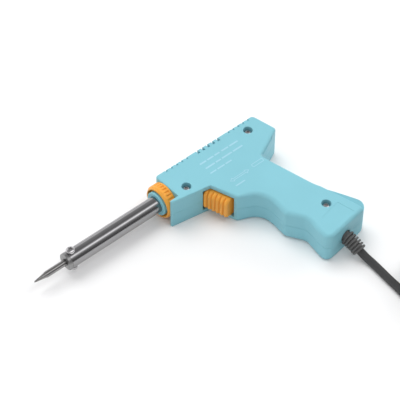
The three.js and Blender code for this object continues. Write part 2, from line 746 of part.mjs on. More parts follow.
function addWiring() {
  const [blockX, blockY] = BLOCK_CENTRE;
  const [sizeX, sizeY, sizeZ] = BLOCK_SIZE;
  const block = boxBetween(
    [blockX - sizeX / 2, blockY - sizeY / 2, -sizeZ / 2],
    [blockX + sizeX / 2, blockY + sizeY / 2, sizeZ / 2],
  );
  const poles = [-1, 1].map((side) => blockX + side * POLE_OFFSET);
  const wireHoles = poles.map((x) => rodY(1.9, blockY - sizeY, blockY + sizeY, x, 0));
  const screwSpots = poles.flatMap((x) => [-1, 1].map((end) => [x, blockY + end * POLE_SCREW_OFFSET]));
  const screwHoles = screwSpots.map((c) => postZ(c, 1.9, 0, sizeZ, 12));
  addPart("terminal_block", cut(block, ...wireHoles, ...screwHoles), "cream");
  ["live_in", "live_out", "neutral_in", "neutral_out"].forEach((place, i) => {
    const screw = crossHeadScrew(screwSpots[i], {
      headRadius: 1.6, headTop: 4.6, headHeight: 1.2, shankRadius: 1.1, end: 1.2, sides: 8,
    });
    addPart(`terminal_screw_${place}`, screw, "brass");
  });

  const bar = boxBetween([CLAMP_X - 9.6, CLAMP_Y - 2.5, CORD_RADIUS + GAP], [CLAMP_X + 9.6, CLAMP_Y + 2.5, 6.2]);
  const barHoles = [-1, 1].map((side) => {
    return postZ([CLAMP_X + side * CLAMP_SCREW_OFFSET, CLAMP_Y], 1.4, 0, 10, 12);
  });
  addPart("cord_clamp", cut(bar, ...barHoles), "cream");
  [["front", -1], ["rear", 1]].forEach(([place, side]) => {
    const screw = crossHeadScrew([CLAMP_X + side * CLAMP_SCREW_OFFSET, CLAMP_Y], {
      headRadius: 2.2, headTop: 8.1, headHeight: 1.6, shankRadius: 1.1, end: -6.5, sides: 10,
    });
    addPart(`clamp_screw_${place}`, screw, "steel");
  });

  const sheath = smoothCurve([[73.0, -78.0, 0], [73.2, -86.0, 0], [74.4, -97.0, 0], [76.0, -106.0, 0], INNER_CORD_END]);
  addPart("inner_cord", tube(sheath, CORD_RADIUS, 10, 10), "rubber");

  const liveX = poles[0];
  const neutralX = poles[1];
  const leads = [
    ["lead_live", "leadBrown", [[71.8, -77.4, 0], [69.5, -73.5, 0], [66.6, -71.0, 0], [liveX, -68.0, 0], [liveX, -64.0, 0]]],
    ["lead_neutral", "leadBlue", [[74.2, -77.4, 0], [75.4, -73.5, 0], [76.0, -71.0, 0], [neutralX, -68.0, 0],
      [neutralX, -64.0, 0]]],
    ["lead_switch", "leadBrown", [[liveX, -60.0, 0], [liveX, -54.0, 0], [65.4, -44.0, 0], [65.6, -36.0, 0],
      [65.6, -31.5, 0]]],
    ["heater_lead_live", "leadWhite", [[65.8, -22.0, 1.0], [64.5, -16.0, 3.0], [52.0, -8.0, 5.0], [38.0, -1.5, 3.6],
      [26.0, 0, 3.0], [0.0, 0, 3.0], [-21.0, 0, 3.0]]],
    ["heater_lead_neutral", "leadWhite", [[neutralX, -60.0, 0], [76.4, -50.0, 0], [76.4, -36.0, -1.0], [75.4, -20.0, -5.0],
      [58.0, -8.0, -6.0], [40.0, -1.5, -4.0], [26.0, 0, -3.0], [0.0, 0, -3.0], [-21.0, 0, -3.0]]],
  ];
  leads.forEach(([name, colour, points]) => {
    addPart(name, tube(smoothCurve(points), 0.8, points.length * 3, 5), colour);
  });
}

// ---------------------------------------------------------------- strain relief and mains cord

// Centre line from inside the butt, through the strain relief, down to the table.
const RELIEF_ROUTE = new THREE.CubicBezierCurve3(
  new THREE.Vector3(BUTT_EXIT[0], BUTT_EXIT[1], 0).addScaledVector(BUTT_NORMAL, -5.6),
  new THREE.Vector3(BUTT_EXIT[0], BUTT_EXIT[1], 0).addScaledVector(BUTT_NORMAL, 2.0),
  new THREE.Vector3(79.3, -128.4, -2.6),
  new THREE.Vector3(80.0, -134.4, -6.4),
);
const RELIEF_LENGTH = RELIEF_ROUTE.getLength();
const RELIEF_RINGS = 6;
const RELIEF_RINGS_START = 7.2;
const RELIEF_RING_THICK = 1.5;
const RELIEF_RING_RADII = [6.2, 5.8];
const RELIEF_CORE_RADIUS = 4.3;
const INNER_CORD_END = (() => {
  const start = RELIEF_ROUTE.getPoint(0).addScaledVector(BUTT_NORMAL, -GAP);
  return [start.x, start.y, start.z];
})();

// A lathe about the route: profile points are [distance along the route, radius].
function turnedAlong(route, profile, sides) {
  const length = route.getLength();
  const lathe = new THREE.LatheGeometry(profile.map(([s, radius]) => new THREE.Vector2(radius, s)), sides);
  const position = lathe.attributes.position;
  const up = new THREE.Vector3(0, 0, 1);
  for (let i = 0; i < position.count; i += 1) {
    const share = THREE.MathUtils.clamp(position.getY(i) / length, 0, 1);
    const centre = route.getPointAt(share);
    const tangent = route.getTangentAt(share);
    const side = new THREE.Vector3().crossVectors(tangent, up).normalize();
    const normal = new THREE.Vector3().crossVectors(side, tangent);
    centre.addScaledVector(side, position.getX(i)).addScaledVector(normal, position.getZ(i));
    position.setXYZ(i, centre.x, centre.y, centre.z);
  }
  return lathe;
}

// Six rings joined by a thinner core; the first one covers the hole in the butt.
function addStrainRelief() {
  const profile = [[0, 0], [0, 5.6], [2.2, 5.6], [2.2, 4.7], [RELIEF_RINGS_START, 4.7]];
  const ringPitch = (RELIEF_LENGTH - RELIEF_RINGS_START - RELIEF_RING_THICK) / (RELIEF_RINGS - 1);
  for (let ring = 0; ring < RELIEF_RINGS; ring += 1) {
    const start = RELIEF_RINGS_START + ring * ringPitch;
    const swell = THREE.MathUtils.lerp(...RELIEF_RING_RADII, ring / (RELIEF_RINGS - 1));
    profile.push([start, swell], [start + RELIEF_RING_THICK, swell]);
    if (ring < RELIEF_RINGS - 1) {
      profile.push([start + RELIEF_RING_THICK + 0.1, RELIEF_CORE_RADIUS]);
      profile.push([start + ringPitch - 0.1, RELIEF_CORE_RADIUS]);
    }
  }
  profile.push([RELIEF_LENGTH, 0]);
  const relief = turnedAlong(RELIEF_ROUTE, profile, 14);
  addPart("strain_relief", facingOut(welded(relief)), "rubber");
}

const CORD_LOW_Z = TABLE_Z + CORD_RADIUS;
const COIL_INNER_RADIUS = COIL_MEAN_RADIUS - COIL_RINGS * CORD_RADIUS;
const COIL_OUTER_RADIUS = COIL_MEAN_RADIUS + COIL_RINGS * CORD_RADIUS;
const COIL_HEIGHT = COIL_LAYERS * 2 * CORD_RADIUS;
const COIL_LOW_Z = TABLE_Z + COIL_BOTTOM;
const PLUG_X = COIL_CENTRE[0] + COIL_OUTER_RADIUS - CORD_RADIUS;
const PLUG_Z = TABLE_Z + PLUG_THICK / 2;

// The stretch from the strain relief to the coil: down to the table, then straight across it.
const CORD_ROUTE = [
  [80.05, -134.75, -6.65],
  [80.5, -138.4, -8.4],
  [80.9, -142.2, -9.8],
  [81.2, -146.6, -10.6],
  [80.9, -151.0, CORD_LOW_Z],
  [80.2, -157.5, CORD_LOW_Z],
  [79.2, -166.0, CORD_LOW_Z],
  [78.4, -174.0, CORD_LOW_Z],
  [77.7, -180.6, CORD_LOW_Z + 0.3],
];

// The last stretch, from the outer top turn of the coil down to the plug.
const TAIL_ROUTE = [
  [PLUG_X, -185.0, PLUG_Z + 0.7],
  [PLUG_X, -181.0, PLUG_Z + 0.25],
  [PLUG_X, -177.5, PLUG_Z],
  [PLUG_X, PLUG_REAR_Y - GAP, PLUG_Z],
];

function addCordAndCoil() {
  addPart("power_cord", tube(smoothCurve(CORD_ROUTE), CORD_RADIUS, 18, 10), "rubber", cordGroup);
  addPart("cord_tail", tube(smoothCurve(TAIL_ROUTE), CORD_RADIUS, 4, 10), "rubber", cordGroup);

  const section = [
    [COIL_INNER_RADIUS, 0],
    [COIL_OUTER_RADIUS, 0],
    [COIL_OUTER_RADIUS, COIL_HEIGHT],
    [COIL_INNER_RADIUS, COIL_HEIGHT],
    [COIL_INNER_RADIUS, 0],
  ].map(([radius, z]) => new THREE.Vector2(radius, z));
  const coil = new THREE.LatheGeometry(section, 40).rotateX(Math.PI / 2);
  coil.translate(COIL_CENTRE[0], COIL_CENTRE[1], COIL_LOW_Z);
  addPart("cord_coil", facingOut(welded(coil)), "rubber", cordGroup);
}

function rectangle(kind, x0, y0, x1, y1) {
  const path = new kind();
  path.moveTo(x0, y0);
  path.lineTo(x1, y0);
  path.lineTo(x1, y1);
  path.lineTo(x0, y1);
  path.closePath();
  return path;
}

// A flat band around the coil's section, drawn in the (radius, z) plane.
function addTie() {
  const [inner, outer] = [COIL_INNER_RADIUS - GAP, COIL_OUTER_RADIUS + GAP];
  const [low, high] = [TABLE_Z + TIE_THICK, COIL_LOW_Z + COIL_HEIGHT + GAP];
  const grow = TIE_THICK;
  const band = rectangle(THREE.Shape, inner - grow, low - grow, outer + grow, high + grow);
  band.holes.push(rectangle(THREE.Path, inner, low, outer, high));
  const tie = new THREE.ExtrudeGeometry(band, { depth: TIE_WIDTH, bevelEnabled: false });
  tie.translate(0, 0, -TIE_WIDTH / 2).rotateX(Math.PI / 2).rotateZ(TIE_ANGLE);
  tie.translate(COIL_CENTRE[0], COIL_CENTRE[1], 0);
  addPart("cord_tie", facingOut(welded(tie)), "black", cordGroup);
}

// A rectangle with cut corners, clockwise, for one station of the plug.
function plugStation(halfWidth, halfThick) {
  const chamfer = Math.min(halfWidth, halfThick) * 0.55;
  const corners = [
    [halfWidth - chamfer, halfThick],
    [halfWidth, halfThick - chamfer],
    [halfWidth, chamfer - halfThick],
    [halfWidth - chamfer, -halfThick],
    [chamfer - halfWidth, -halfThick],
    [-halfWidth, chamfer - halfThick],
    [-halfWidth, halfThick - chamfer],
    [chamfer - halfWidth, halfThick],
  ];
  return corners.map(([x, y]) => new THREE.Vector2(x, y));
}

// A flat two-pin plug whose pins point along +y.
function addPlug() {
  const halfWidth = PLUG_WIDTH / 2;
  const halfThick = PLUG_THICK / 2;
  const faceY = PLUG_REAR_Y + PLUG_LENGTH;
  const stations = [
    [0, 4.4, 4.4],
    [12, 5.4, 5.4],
    [17, 9.5, 6.4],
    [25, 14.5, halfThick],
    [PLUG_LENGTH - 1, halfWidth, halfThick],
    [PLUG_LENGTH, halfWidth - 0.8, halfThick - 0.8],
  ];
  const levels = stations.map(([z, width, thick]) => ({ outline: plugStation(width, thick), z }));
  const body = stacked(levels).rotateX(-Math.PI / 2).translate(PLUG_X, PLUG_REAR_Y, PLUG_Z);
  addPart("plug_body", body, "black", cordGroup);

  [["left", -1], ["right", 1]].forEach(([place, side]) => {
    const x = PLUG_X + (side * PIN_SPACING) / 2;
    const base = faceY + GAP;
    const sleeveEnd = base + PIN_SLEEVE_LENGTH;
    const profile = [
      [0, base],
      [PIN_CORE_RADIUS, base],
      [PIN_CORE_RADIUS, sleeveEnd + GAP],
      [PIN_RADIUS, sleeveEnd + GAP],
      [PIN_RADIUS, base + PIN_LENGTH - 1.2],
      [PIN_RADIUS - 1, base + PIN_LENGTH],
      [0, base + PIN_LENGTH],
    ].map(([radius, y]) => new THREE.Vector2(radius, y));
    const pin = new THREE.LatheGeometry(profile, 16).translate(x, 0, PLUG_Z);
    addPart(`plug_pin_${place}`, facingOut(welded(pin)), "steel", cordGroup);
    const sleeveProfile = [
      [PIN_CORE_RADIUS + GAP, base],
      [PIN_SLEEVE_RADIUS, base],
      [PIN_SLEEVE_RADIUS, sleeveEnd],
      [PIN_CORE_RADIUS + GAP, sleeveEnd],
      [PIN_CORE_RADIUS + GAP, base],
    ].map(([radius, y]) => new THREE.Vector2(radius, y));
    const sleeve = new THREE.LatheGeometry(sleeveProfile, 16).translate(x, 0, PLUG_Z);
    addPart(`plug_pin_sleeve_${place}`, facingOut(welded(sleeve)), "black", cordGroup);
  });
}

// ---------------------------------------------------------------- assembly

addHousing();
addCollar();
addBarrel();
addHeater();
addTriggerGroup();
addWiring();
addStrainRelief();
addCordAndCoil();
addTie();
addPlug();

const solderingIron = new THREE.Group();
solderingIron.name = "soldering_iron";
solderingIron.add(iron, cordGroup);

// The origin is under the middle of the iron's own box, at table height.
const ironBox = new THREE.Box3().setFromObject(iron);
const ironCentre = ironBox.getCenter(new THREE.Vector3());
solderingIron.position.set(-ironCentre.x, -ironCentre.y, -ironBox.min.z);

export default solderingIron;
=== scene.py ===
"""Looks of a gun-type soldering iron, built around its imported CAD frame.

Shapes are made in the gun frame, in millimetres: x along the barrel (the tip points to -x),
y towards the housing's top edge, z across the housing with the parting plane at 0.
place() then moves each finished mesh into the row frame, in metres.
"""

import json
import math
from contextlib import contextmanager

import bmesh
import bpy
import numpy as np
from mathutils import Matrix, Vector


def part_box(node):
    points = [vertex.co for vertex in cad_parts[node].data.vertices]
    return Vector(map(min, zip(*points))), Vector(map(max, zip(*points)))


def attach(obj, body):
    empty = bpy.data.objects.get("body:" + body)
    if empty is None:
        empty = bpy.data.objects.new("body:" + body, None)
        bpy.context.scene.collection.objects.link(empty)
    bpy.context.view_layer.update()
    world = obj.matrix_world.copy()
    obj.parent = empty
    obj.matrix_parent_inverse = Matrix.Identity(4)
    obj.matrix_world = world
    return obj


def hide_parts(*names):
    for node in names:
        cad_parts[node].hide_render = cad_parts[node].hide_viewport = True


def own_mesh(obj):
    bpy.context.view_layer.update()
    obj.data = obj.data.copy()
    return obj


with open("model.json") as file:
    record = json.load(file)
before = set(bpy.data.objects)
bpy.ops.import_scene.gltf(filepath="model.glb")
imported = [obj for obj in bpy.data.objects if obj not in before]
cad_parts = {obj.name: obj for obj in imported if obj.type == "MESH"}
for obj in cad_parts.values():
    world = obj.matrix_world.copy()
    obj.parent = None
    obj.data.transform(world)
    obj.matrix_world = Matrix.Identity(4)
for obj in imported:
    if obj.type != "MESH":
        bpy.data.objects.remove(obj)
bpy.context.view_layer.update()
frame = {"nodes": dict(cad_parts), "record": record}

# ---------------- the gun frame

MM = 0.001
BARREL_FRONT_X = -95.0
barrel_low, barrel_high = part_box("barrel_tube")
barrel_middle = [(low + high) / 2 for low, high in zip(barrel_low, barrel_high)]
AXIS_POINT = Vector((barrel_low[0] - BARREL_FRONT_X * MM, *barrel_middle[1:]))
TO_ROW = Matrix.Translation(AXIS_POINT) @ Matrix.Scale(MM, 4)


def row(x, y, z=0.0):
    return TO_ROW @ Vector((x, y, z))


# ---------------- housing dimensions, as in the CAD

HALF = 14.0  # half the housing's thickness
WALL = 2.2
FRONT_X = 2.0
TOP_Y = 13.0
SEAM = 0.05  # half the gap between the shells
SEAM_BEVEL = 0.18
CAVITY_TOP = HALF - WALL
ROOF = CAVITY_TOP + 1.0  # posts and ribs end here, inside the wall
EXIT_HOLE_RADIUS = 5.2
SCREW_HOLE_RADIUS = 1.8
COLUMN_RADIUS = 3.7

# Corners of the housing's side outline, clockwise: x, y, fillet, and the radius of the rounded
# edge between the flat side and the rim at that corner.
HOUSING = (
    (FRONT_X, TOP_Y, 2.4, 1.3),
    (104.8, TOP_Y, 3.5, 1.6),
    (109.3, -10.5, 3.0, 1.9),
    (79.4, -24.8, 3.0, 2.2),
    (89.6, -74.0, 40.0, 2.4),
    (107.6, -117.08, 8.0, 3.0),
    (56.8, -123.1, 5.5, 2.8),
    (57.5, -111.5, 12.0, 3.2),
    (60.2, -97.0, 10.0, 3.4),
    (51.0, -82.2, 5.0, 4.0),
    (52.9, -68.0, 25.0, 3.6),
    (52.8, -55.2, 16.0, 3.4),
    (35.2, -45.6, 2.6, 1.8),
    (27.9, -22.7, 0.8, 0.8),
)
LIP_AND_NOSE = (
    (-6.5, -16.6, 0.9, 0.75),
    (-6.5, -14.3, 0.9, 0.75),
    (FRONT_X, -14.3, 0.4, 0.75),
)
SLOT = (
    (21.0, -12.5, 0.5, 0.0),
    (46.0, -12.5, 0.5, 0.0),
    (46.0, -42.8, 0.8, 0.0),
    (26.0, -42.8, 0.8, 0.0),
    (21.0, -26.0, 0.5, 0.0),
)

# Low step along the back edge of the grip, and a groove under the tail's rolled edge.
LEDGE = (
    (86.8, -60.0, 0.5, 0.0),
    (92.0, -60.0, 0.5, 0.0),
    (114.0, -112.0, 0.5, 0.0),
    (113.0, -126.0, 0.5, 0.0),
    (97.9, -126.0, 0.5, 0.0),
    (99.4, -114.5, 12.0, 0.0),
)
LEDGE_DEPTH = 3.2  # at its inner edge; it rises outwards
LEDGE_SLOPE = 0.40
TAIL_GROOVE = (
    (82.4, -22.4, 0.2, 0.0),
    (101.0, -13.9, 0.2, 0.0),
    (101.4, -15.6, 0.2, 0.0),
    (83.2, -24.2, 0.2, 0.0),
)
TAIL_GROOVE_RINGS = ((0.45, 10.3), (0.0, 10.9), (0.0, 11.9), (0.4, 12.3))  # inset, z

# A very shallow moulded field near the butt.
LABEL_CENTRE = (79.7, -109.8, 0.0)
LABEL_HALF_SIZE = (10.6, 7.9)
LABEL_TURN = math.radians(10)
LABEL_DEPTH = 0.15

# Vent notches in groups of five: the first one's x, depth from the top edge and floor.
VENT_GROUPS = ((12.3, 2.6, 12.3), (44.7, 4.0, 10.8), (77.1, 2.6, 12.3))
VENTS_IN_GROUP = 5
VENT_PITCH = 5.24
VENT_WIDTH = 2.2

# Blocks inside the shells: from x, from y, to x, to y and the lowest z.
SHARED_BLOCKS = (
    (17.5, -12.0, 19.7, 12.0, SEAM),  # ribs in front of the barrel's flange, behind it
    (21.9, -12.0, 24.1, 12.0, SEAM),
    (3.0, -12.0, 6.0, 12.0, SEAM),  # and at the front wall
    (52.0, -39.0, 53.6, -31.8, SEAM),  # seat of the spring
    (48.0, -30.0, 58.0, -23.0, 5.3),  # pad of the switch
)
CORD_RADIUS = 3.2
RIGHT_BLOCKS = (
    (72.0, -110.0, 80.0, -106.0, CORD_RADIUS + 0.3),  # saddle of the cord
    (63.0, -66.0, 79.0, -58.0, 5.3),  # pad of the terminal block
)
CLAMP_POSTS = ((69.0, -108.0), (83.0, -108.0))

# ---------------- dimensions of the other pieces, as in the CAD unless noted

SCREW_CENTRES = {"front": (13.3, -11.1), "rear": (90.7, 2.8), "handle": (81.4, -95.4)}
SCREW_TURNS = {"front": 20.0, "rear": 65.0, "handle": 38.0}
RECESS_RADIUS = 3.8
RECESS_FLOOR_Z = 9.7
TIP_SCREW_X = -91.5
TIP_SCREW_TILT = math.radians(6)
TIP_SCREW_TURN = math.radians(24)
# Head radius (the CAD's case screws have 3.1), height of the head's top, head thickness,
# shank radius and height of the shank's end.
CASE_SCREW = (2.9, 12.4, 1.9, 1.5, -9.0)
TIP_SCREW = (3.6, 10.5, 3.2, 1.4, 2.8)

NECK_RADIUS = 10.1
NECK_FRONT_X = -8.5
COLLAR_RADIUS = 14.0
COLLAR_FRONT_X = -7.0
COLLAR_REAR_X = 1.7
COLLAR_NOTCHES = 28
NOTCH_DEPTH = 0.95
BARREL_RADIUS = 7.0
BARREL_BORE = 6.4
HOLDER_FRONT_X = -97.5
HOLDER_REAR_X = -73.0
TIP_RADIUS = 2.5
TIP_REAR_X = -58.0

PIVOT = (33.0, -17.0)
PIVOT_BOSS_RADIUS = 3.2
PIN_BORE_RADIUS = 1.65
SLOT_HALF_WIDTH = 10.4  # the CAD has 9.7; this shows a gap round the trigger
TRIGGER_HALF_WIDTH = 9.2
TRIGGER_BACK_X = 39.0
FACE_TOP = Vector((22.5, -20.3))
FACE_BOTTOM = Vector((28.4, -41.9))
RIBS = 6
RIB_STEPS = 12
RIB_HEIGHT = 1.5
RIB_POWER = 0.62  # below 1 the ribs are fuller than a sine's and the valleys sharper
PAD_DEPTH = 11.5
PAD_ROUND = 2.7
LUG = (
    (26.6, -20.4, 0.6, 0.4),
    (31.0, -13.4, 1.0, 0.4),
    (37.0, -14.0, 1.0, 0.4),
    (TRIGGER_BACK_X, -20.0, 0.6, 0.4),
    (TRIGGER_BACK_X, -44.0, 0.5, 0.4),
    (37.6, -44.0, 0.5, 0.4),
    (37.6, -40.2, 0.4, 0.4),
    (31.5, -40.2, 0.6, 0.4),
)
SPRING_Y = -35.5
SPRING_FRONT_X = 39.1
SPRING_REAR_X = 51.9
SPRING_RADIUS = 2.8  # to the middle of the wire
SPRING_WIRE = 0.4
SPRING_TURNS = 7
SPRING_STEPS = 32  # to a turn
SPRING_SIDES = 12
SPRING_END_PITCH = 2.1 * SPRING_WIRE

BUTT_EXIT = Vector((78.3, -120.4, 0.0))
BUTT_NORMAL = Vector((0.121, -0.993, 0.0)).normalized()
RELIEF_POINTS = (
    BUTT_EXIT - BUTT_NORMAL * 5.6,
    BUTT_EXIT + BUTT_NORMAL * 2.0,
    Vector((79.3, -128.4, -2.6)),
    Vector((80.0, -134.4, -6.4)),
)
RELIEF_FOOT = ((0.0, 0.0, 0.0), (0.0, 5.6, 0.3), (2.2, 5.6, 0.3), (2.2, 4.6, 0.2))
RELIEF_NECK_RADIUS = 4.6
RELIEF_CORE_RADIUS = 3.9
RELIEF_RINGS = 6
RELIEF_RINGS_START = 7.2
RELIEF_RING_THICK = 1.5
RELIEF_RING_RADII = (6.2, 5.8)
RELIEF_RING_EDGE = 0.45
RELIEF_BRIDGE_ANGLE = math.radians(-31)
RELIEF_BRIDGE_HEIGHT = 1.7
RELIEF_SAMPLES = 400

COIL_CENTRE = (118.1, -210.3)
COIL_RADII = (43.4, 37.0, 30.6)
COIL_LOW_Z = -HALF + 0.9 + CORD_RADIUS
COIL_HIGH_Z = COIL_LOW_Z + 2 * CORD_RADIUS
COIL_START = 173.9
COIL_END = 2160.0
COIL_STEP = 12.0
# The windows, in degrees of winding, in which the cord climbs to the upper layer and in which
# it steps from one ring to the next.
CLIMB = (1137.0, 1197.0)
STEPS_IN = ((473.9, 533.9), (833.9, 893.9))
STEPS_OUT = ((1440.0, 1500.0), (1800.0, 1860.0))
PLUG_Z = -HALF + 13.7 / 2
PLUG_X = COIL_CENTRE[0] + COIL_RADII[0]
PLUG_REAR_Y = -174.0
PLUG_SIDES = 72
CORD_POINTS = (
    (80.5, -138.4, -8.4),
    (80.9, -142.2, -9.8),
    (81.2, -146.6, -10.6),
    (80.9, -151.0, -10.8),
    (80.2, -157.5, -10.8),
    (79.2, -166.0, -10.8),
    (78.4, -174.0, -10.8),
    (77.3, -182.0, -10.6),
    (76.3, -190.0, -10.2),
    (75.5, -198.0, -9.95),
)
TAIL_POINTS = (
    (PLUG_X, -203.0, COIL_HIGH_Z - 0.1),
    (PLUG_X, -196.0, COIL_HIGH_Z - 0.9),
    (PLUG_X, -189.0, COIL_HIGH_Z - 2.2),
    (PLUG_X, -184.0, PLUG_Z + 0.5),
    (PLUG_X, -179.5, PLUG_Z + 0.05),
    (PLUG_X, -175.0, PLUG_Z),
    (PLUG_X, -171.5, PLUG_Z),
)
# Distance from the cord's end, half width, half thickness and squareness of the plug's sections.
PLUG_SECTIONS = (
    (0.0, 3.6, 3.6, 2.0),
    (0.3, 4.3, 4.3, 2.0),
    (2.2, 4.6, 4.6, 2.0),
    (2.5, 4.0, 4.0, 2.0),
    (3.6, 4.0, 4.0, 2.0),
    (3.9, 4.8, 4.8, 2.0),
    (5.8, 5.0, 4.9, 2.1),
    (6.1, 4.4, 4.4, 2.1),
    (7.2, 4.5, 4.5, 2.1),
    (7.6, 5.6, 5.2, 2.2),
    (10.0, 7.4, 5.7, 2.4),
    (14.0, 10.5, 6.2, 2.8),
    (18.0, 13.2, 6.5, 3.2),
    (22.0, 15.2, 6.7, 3.6),
    (26.0, 16.5, 6.8, 4.0),
    (31.0, 17.3, 6.85, 4.2),
    (36.6, 17.65, 6.85, 4.4),
    (37.5, 17.4, 6.6, 4.4),
    (38.0, 16.8, 6.0, 4.4),
)
PIN_OFFSET = 9.3
PIN = (
    (0.05, 0.0, 0.0),
    (0.05, 1.2, 0.0),
    (10.1, 1.2, 0.0),
    (10.1, 2.0, 0.1),
    (19.0, 2.0, 1.6),
    (19.0, 0.0, 0.0),
)
PIN_SLEEVE = (
    (5.0, 1.25, 0.0),
    (0.05, 1.25, 0.0),
    (0.05, 1.95, 0.1),
    (10.05, 1.95, 0.2),
    (10.05, 1.25, 0.0),
)
TIE_ANGLE = math.radians(80)
TIE_GAP = CORD_RADIUS + 0.35
TIE_HALF_THICK = 0.28
TIE_HALF_WIDTH = 2.0
TIE_SECTION = ((-1, -0.9), (-0.6, -1), (0.6, -1), (1, -0.9), (1, 0.9), (0.6, 1), (-0.6, 1), (-1, 0.9))

# Rows of plain printed bars on the left side: y, height, and where each bar starts and ends.
PRINTED_ROWS = (
    (-0.7, 1.5, ((36.4, 43.0), (44.2, 50.6), (51.8, 57.0), (59.0, 66.2), (67.4, 76.4))),
    (-7.0, 1.5, ((36.9, 46.4), (47.6, 52.8), (54.0, 64.4), (65.6, 75.7))),
    (-13.3, 1.3, ((36.2, 42.4), (43.6, 51.0), (52.2, 58.4))),
    (-36.3, 1.2, ((42.0, 51.5),)),
)
# Outlined figures: a double-headed arrow, clockwise, and a small rounded box.
PRINTED_ARROW = (
    (41.8, -29.9),
    (45.4, -27.4),
    (45.4, -28.8),
    (57.9, -28.8),
    (57.9, -27.4),
    (61.5, -29.9),
    (57.9, -32.4),
    (57.9, -31.0),
    (45.4, -31.0),
    (45.4, -32.4),
)
PRINTED_BOX = ((65.9, -30.7), (77.5, -27.1))
PRINT_TOP_Z = HALF + 0.03
PRINT_LINE = 0.6

# ---------------- camera


def add_object(name, data):
    obj = bpy.data.objects.new(name, data)
    bpy.context.collection.objects.link(obj)
    return obj


CAMERA_TARGET = row(20.11, -19.23, 0.0)
CAMERA_DISTANCE = 1.22
CAMERA_LENS = 141.4
CAMERA_AZIMUTH = math.radians(41.58)
CAMERA_ELEVATION = math.radians(47.0)


def add_camera():
    level = math.cos(CAMERA_ELEVATION)
    sine, cosine = math.sin(CAMERA_AZIMUTH), math.cos(CAMERA_AZIMUTH)
    look = Vector((sine * level, cosine * level, -math.sin(CAMERA_ELEVATION)))
    data = bpy.data.cameras.new("camera")
    data.lens = CAMERA_LENS
    data.sensor_width = 36.0
    data.clip_start = 0.05
    data.clip_end = 30.0
    camera = add_object("camera", data)
    camera.location = CAMERA_TARGET - look * CAMERA_DISTANCE
    camera.rotation_euler = look.to_track_quat("-Z", "Y").to_euler()
    bpy.context.scene.camera = camera


add_camera()

# ---------------- materials


MATERIALS = {}


def new_material(name):
    material = MATERIALS[name] = bpy.data.materials.new(name)
    material.use_nodes = True
    tree = material.node_tree
    return tree, tree.nodes["Principled BSDF"]


def set_inputs(tree, node, inputs):
    """Links inputs to other nodes' outputs, or sets them to plain values."""
    for name, value in inputs.items():
        if isinstance(value, bpy.types.NodeSocket):
            tree.links.new(value, node.inputs[name])
        else:
            node.inputs[name].default_value = value


def add_node(tree, kind, inputs=(), **settings):
    node = tree.nodes.new(f"ShaderNode{kind}")
    for name, value in settings.items():
        setattr(node, name, value)
    set_inputs(tree, node, dict(inputs))
    return node


def noise(tree, scale, detail=4.0, stretch=None):
    """Noise in object coordinates; scale is in features per metre."""
    spot = add_node(tree, "TexCoord").outputs["Object"]
    if stretch:
        spot = add_node(tree, "Mapping", {"Scale": stretch, "Vector": spot}).outputs["Vector"]
    inputs = {"Scale": scale, "Detail": detail, "Vector": spot}
    return add_node(tree, "TexNoise", inputs).outputs["Fac"]


def spread(tree, value, low, high, from_low=0.3, from_high=0.7):
    inputs = {"From Min": from_low, "From Max": from_high, "To Min": low, "To Max": high}
    return add_node(tree, "MapRange", {**inputs, "Value": value}).outputs["Result"]


def blend(tree, factor, first, second):
    """A colour that goes from first to second as the factor goes from 0 to 1."""
    inputs = {"Factor": factor, "A": first, "B": second}
    return add_node(tree, "Mix", inputs, data_type="RGBA").outputs["Result"]


def add_bump(tree, heights, distance):
    """One bumped normal from several (height, strength) pairs, laid over each other."""
    inputs = {"Distance": distance}
    for height, strength in heights:
        inputs |= {"Strength": strength, "Height": height}
        inputs["Normal"] = add_node(tree, "Bump", inputs).outputs["Normal"]
    return inputs["Normal"]


def scaled(colour, factor=1.0, lift=0.0):
    return (*(min(1.0, c * factor + lift) for c in colour), 1.0)


def plastic(name, colour, roughness, shift=0.06, grain=2600.0, relief=0.12):
    """Moulded plastic: a fine spark-eroded grain, slow colour drift and small changes of gloss."""
    tree, shader = new_material(name)
    drift = spread(tree, noise(tree, 22.0, 3.0), 0.0, 1.0)
    haze = noise(tree, 160.0, 5.0)
    heights = [(noise(tree, grain, 2.0), relief), (noise(tree, 70.0, 2.0), 0.05)]
    inputs = {
        "Base Color": blend(tree, drift, scaled(colour, 1 - shift), scaled(colour, 1 + shift / 2)),
        "Roughness": spread(tree, haze, roughness - 0.05, roughness + 0.07),
        "Normal": add_bump(tree, heights, 0.00005),
        "Specular IOR Level": 0.3,
    }
    set_inputs(tree, shader, inputs)


def metal(name, colour, roughness, marks=(6.0, 900.0, 900.0), relief=0.1, spots=0.1):
    """Machined or drawn metal: long fine marks along one axis and slightly uneven gloss."""
    tree, shader = new_material(name)
    stain = spread(tree, noise(tree, 90.0, 5.0), 0.0, 1.0)
    lines = noise(tree, 1.0, 3.0, stretch=marks)
    inputs = {
        "Metallic": 1.0,
        "Base Color": blend(tree, stain, scaled(colour, 1 - spots), scaled(colour)),
        "Roughness": spread(tree, lines, roughness * 0.75, roughness * 1.35),
        "Normal": add_bump(tree, [(lines, relief)], 0.00002),
    }
    set_inputs(tree, shader, inputs)


def rubber(name, colour, roughness=0.62, grain=3200.0, relief=0.25):
    """Matte rubber or soft cable sheath with a fine grain and dusty lighter patches."""
    tree, shader = new_material(name)
    dust = spread(tree, noise(tree, 60.0, 6.0), 0.0, 1.0)
    inputs = {
        "Base Color": blend(tree, dust, scaled(colour), scaled(colour, 1.25, 0.004)),
        "Roughness": spread(tree, noise(tree, 300.0, 3.0), roughness - 0.08, roughness + 0.1),
        "Normal": add_bump(tree, [(noise(tree, grain, 2.0), relief)], 0.00005),
        "Specular IOR Level": 0.4,
    }
    set_inputs(tree, shader, inputs)


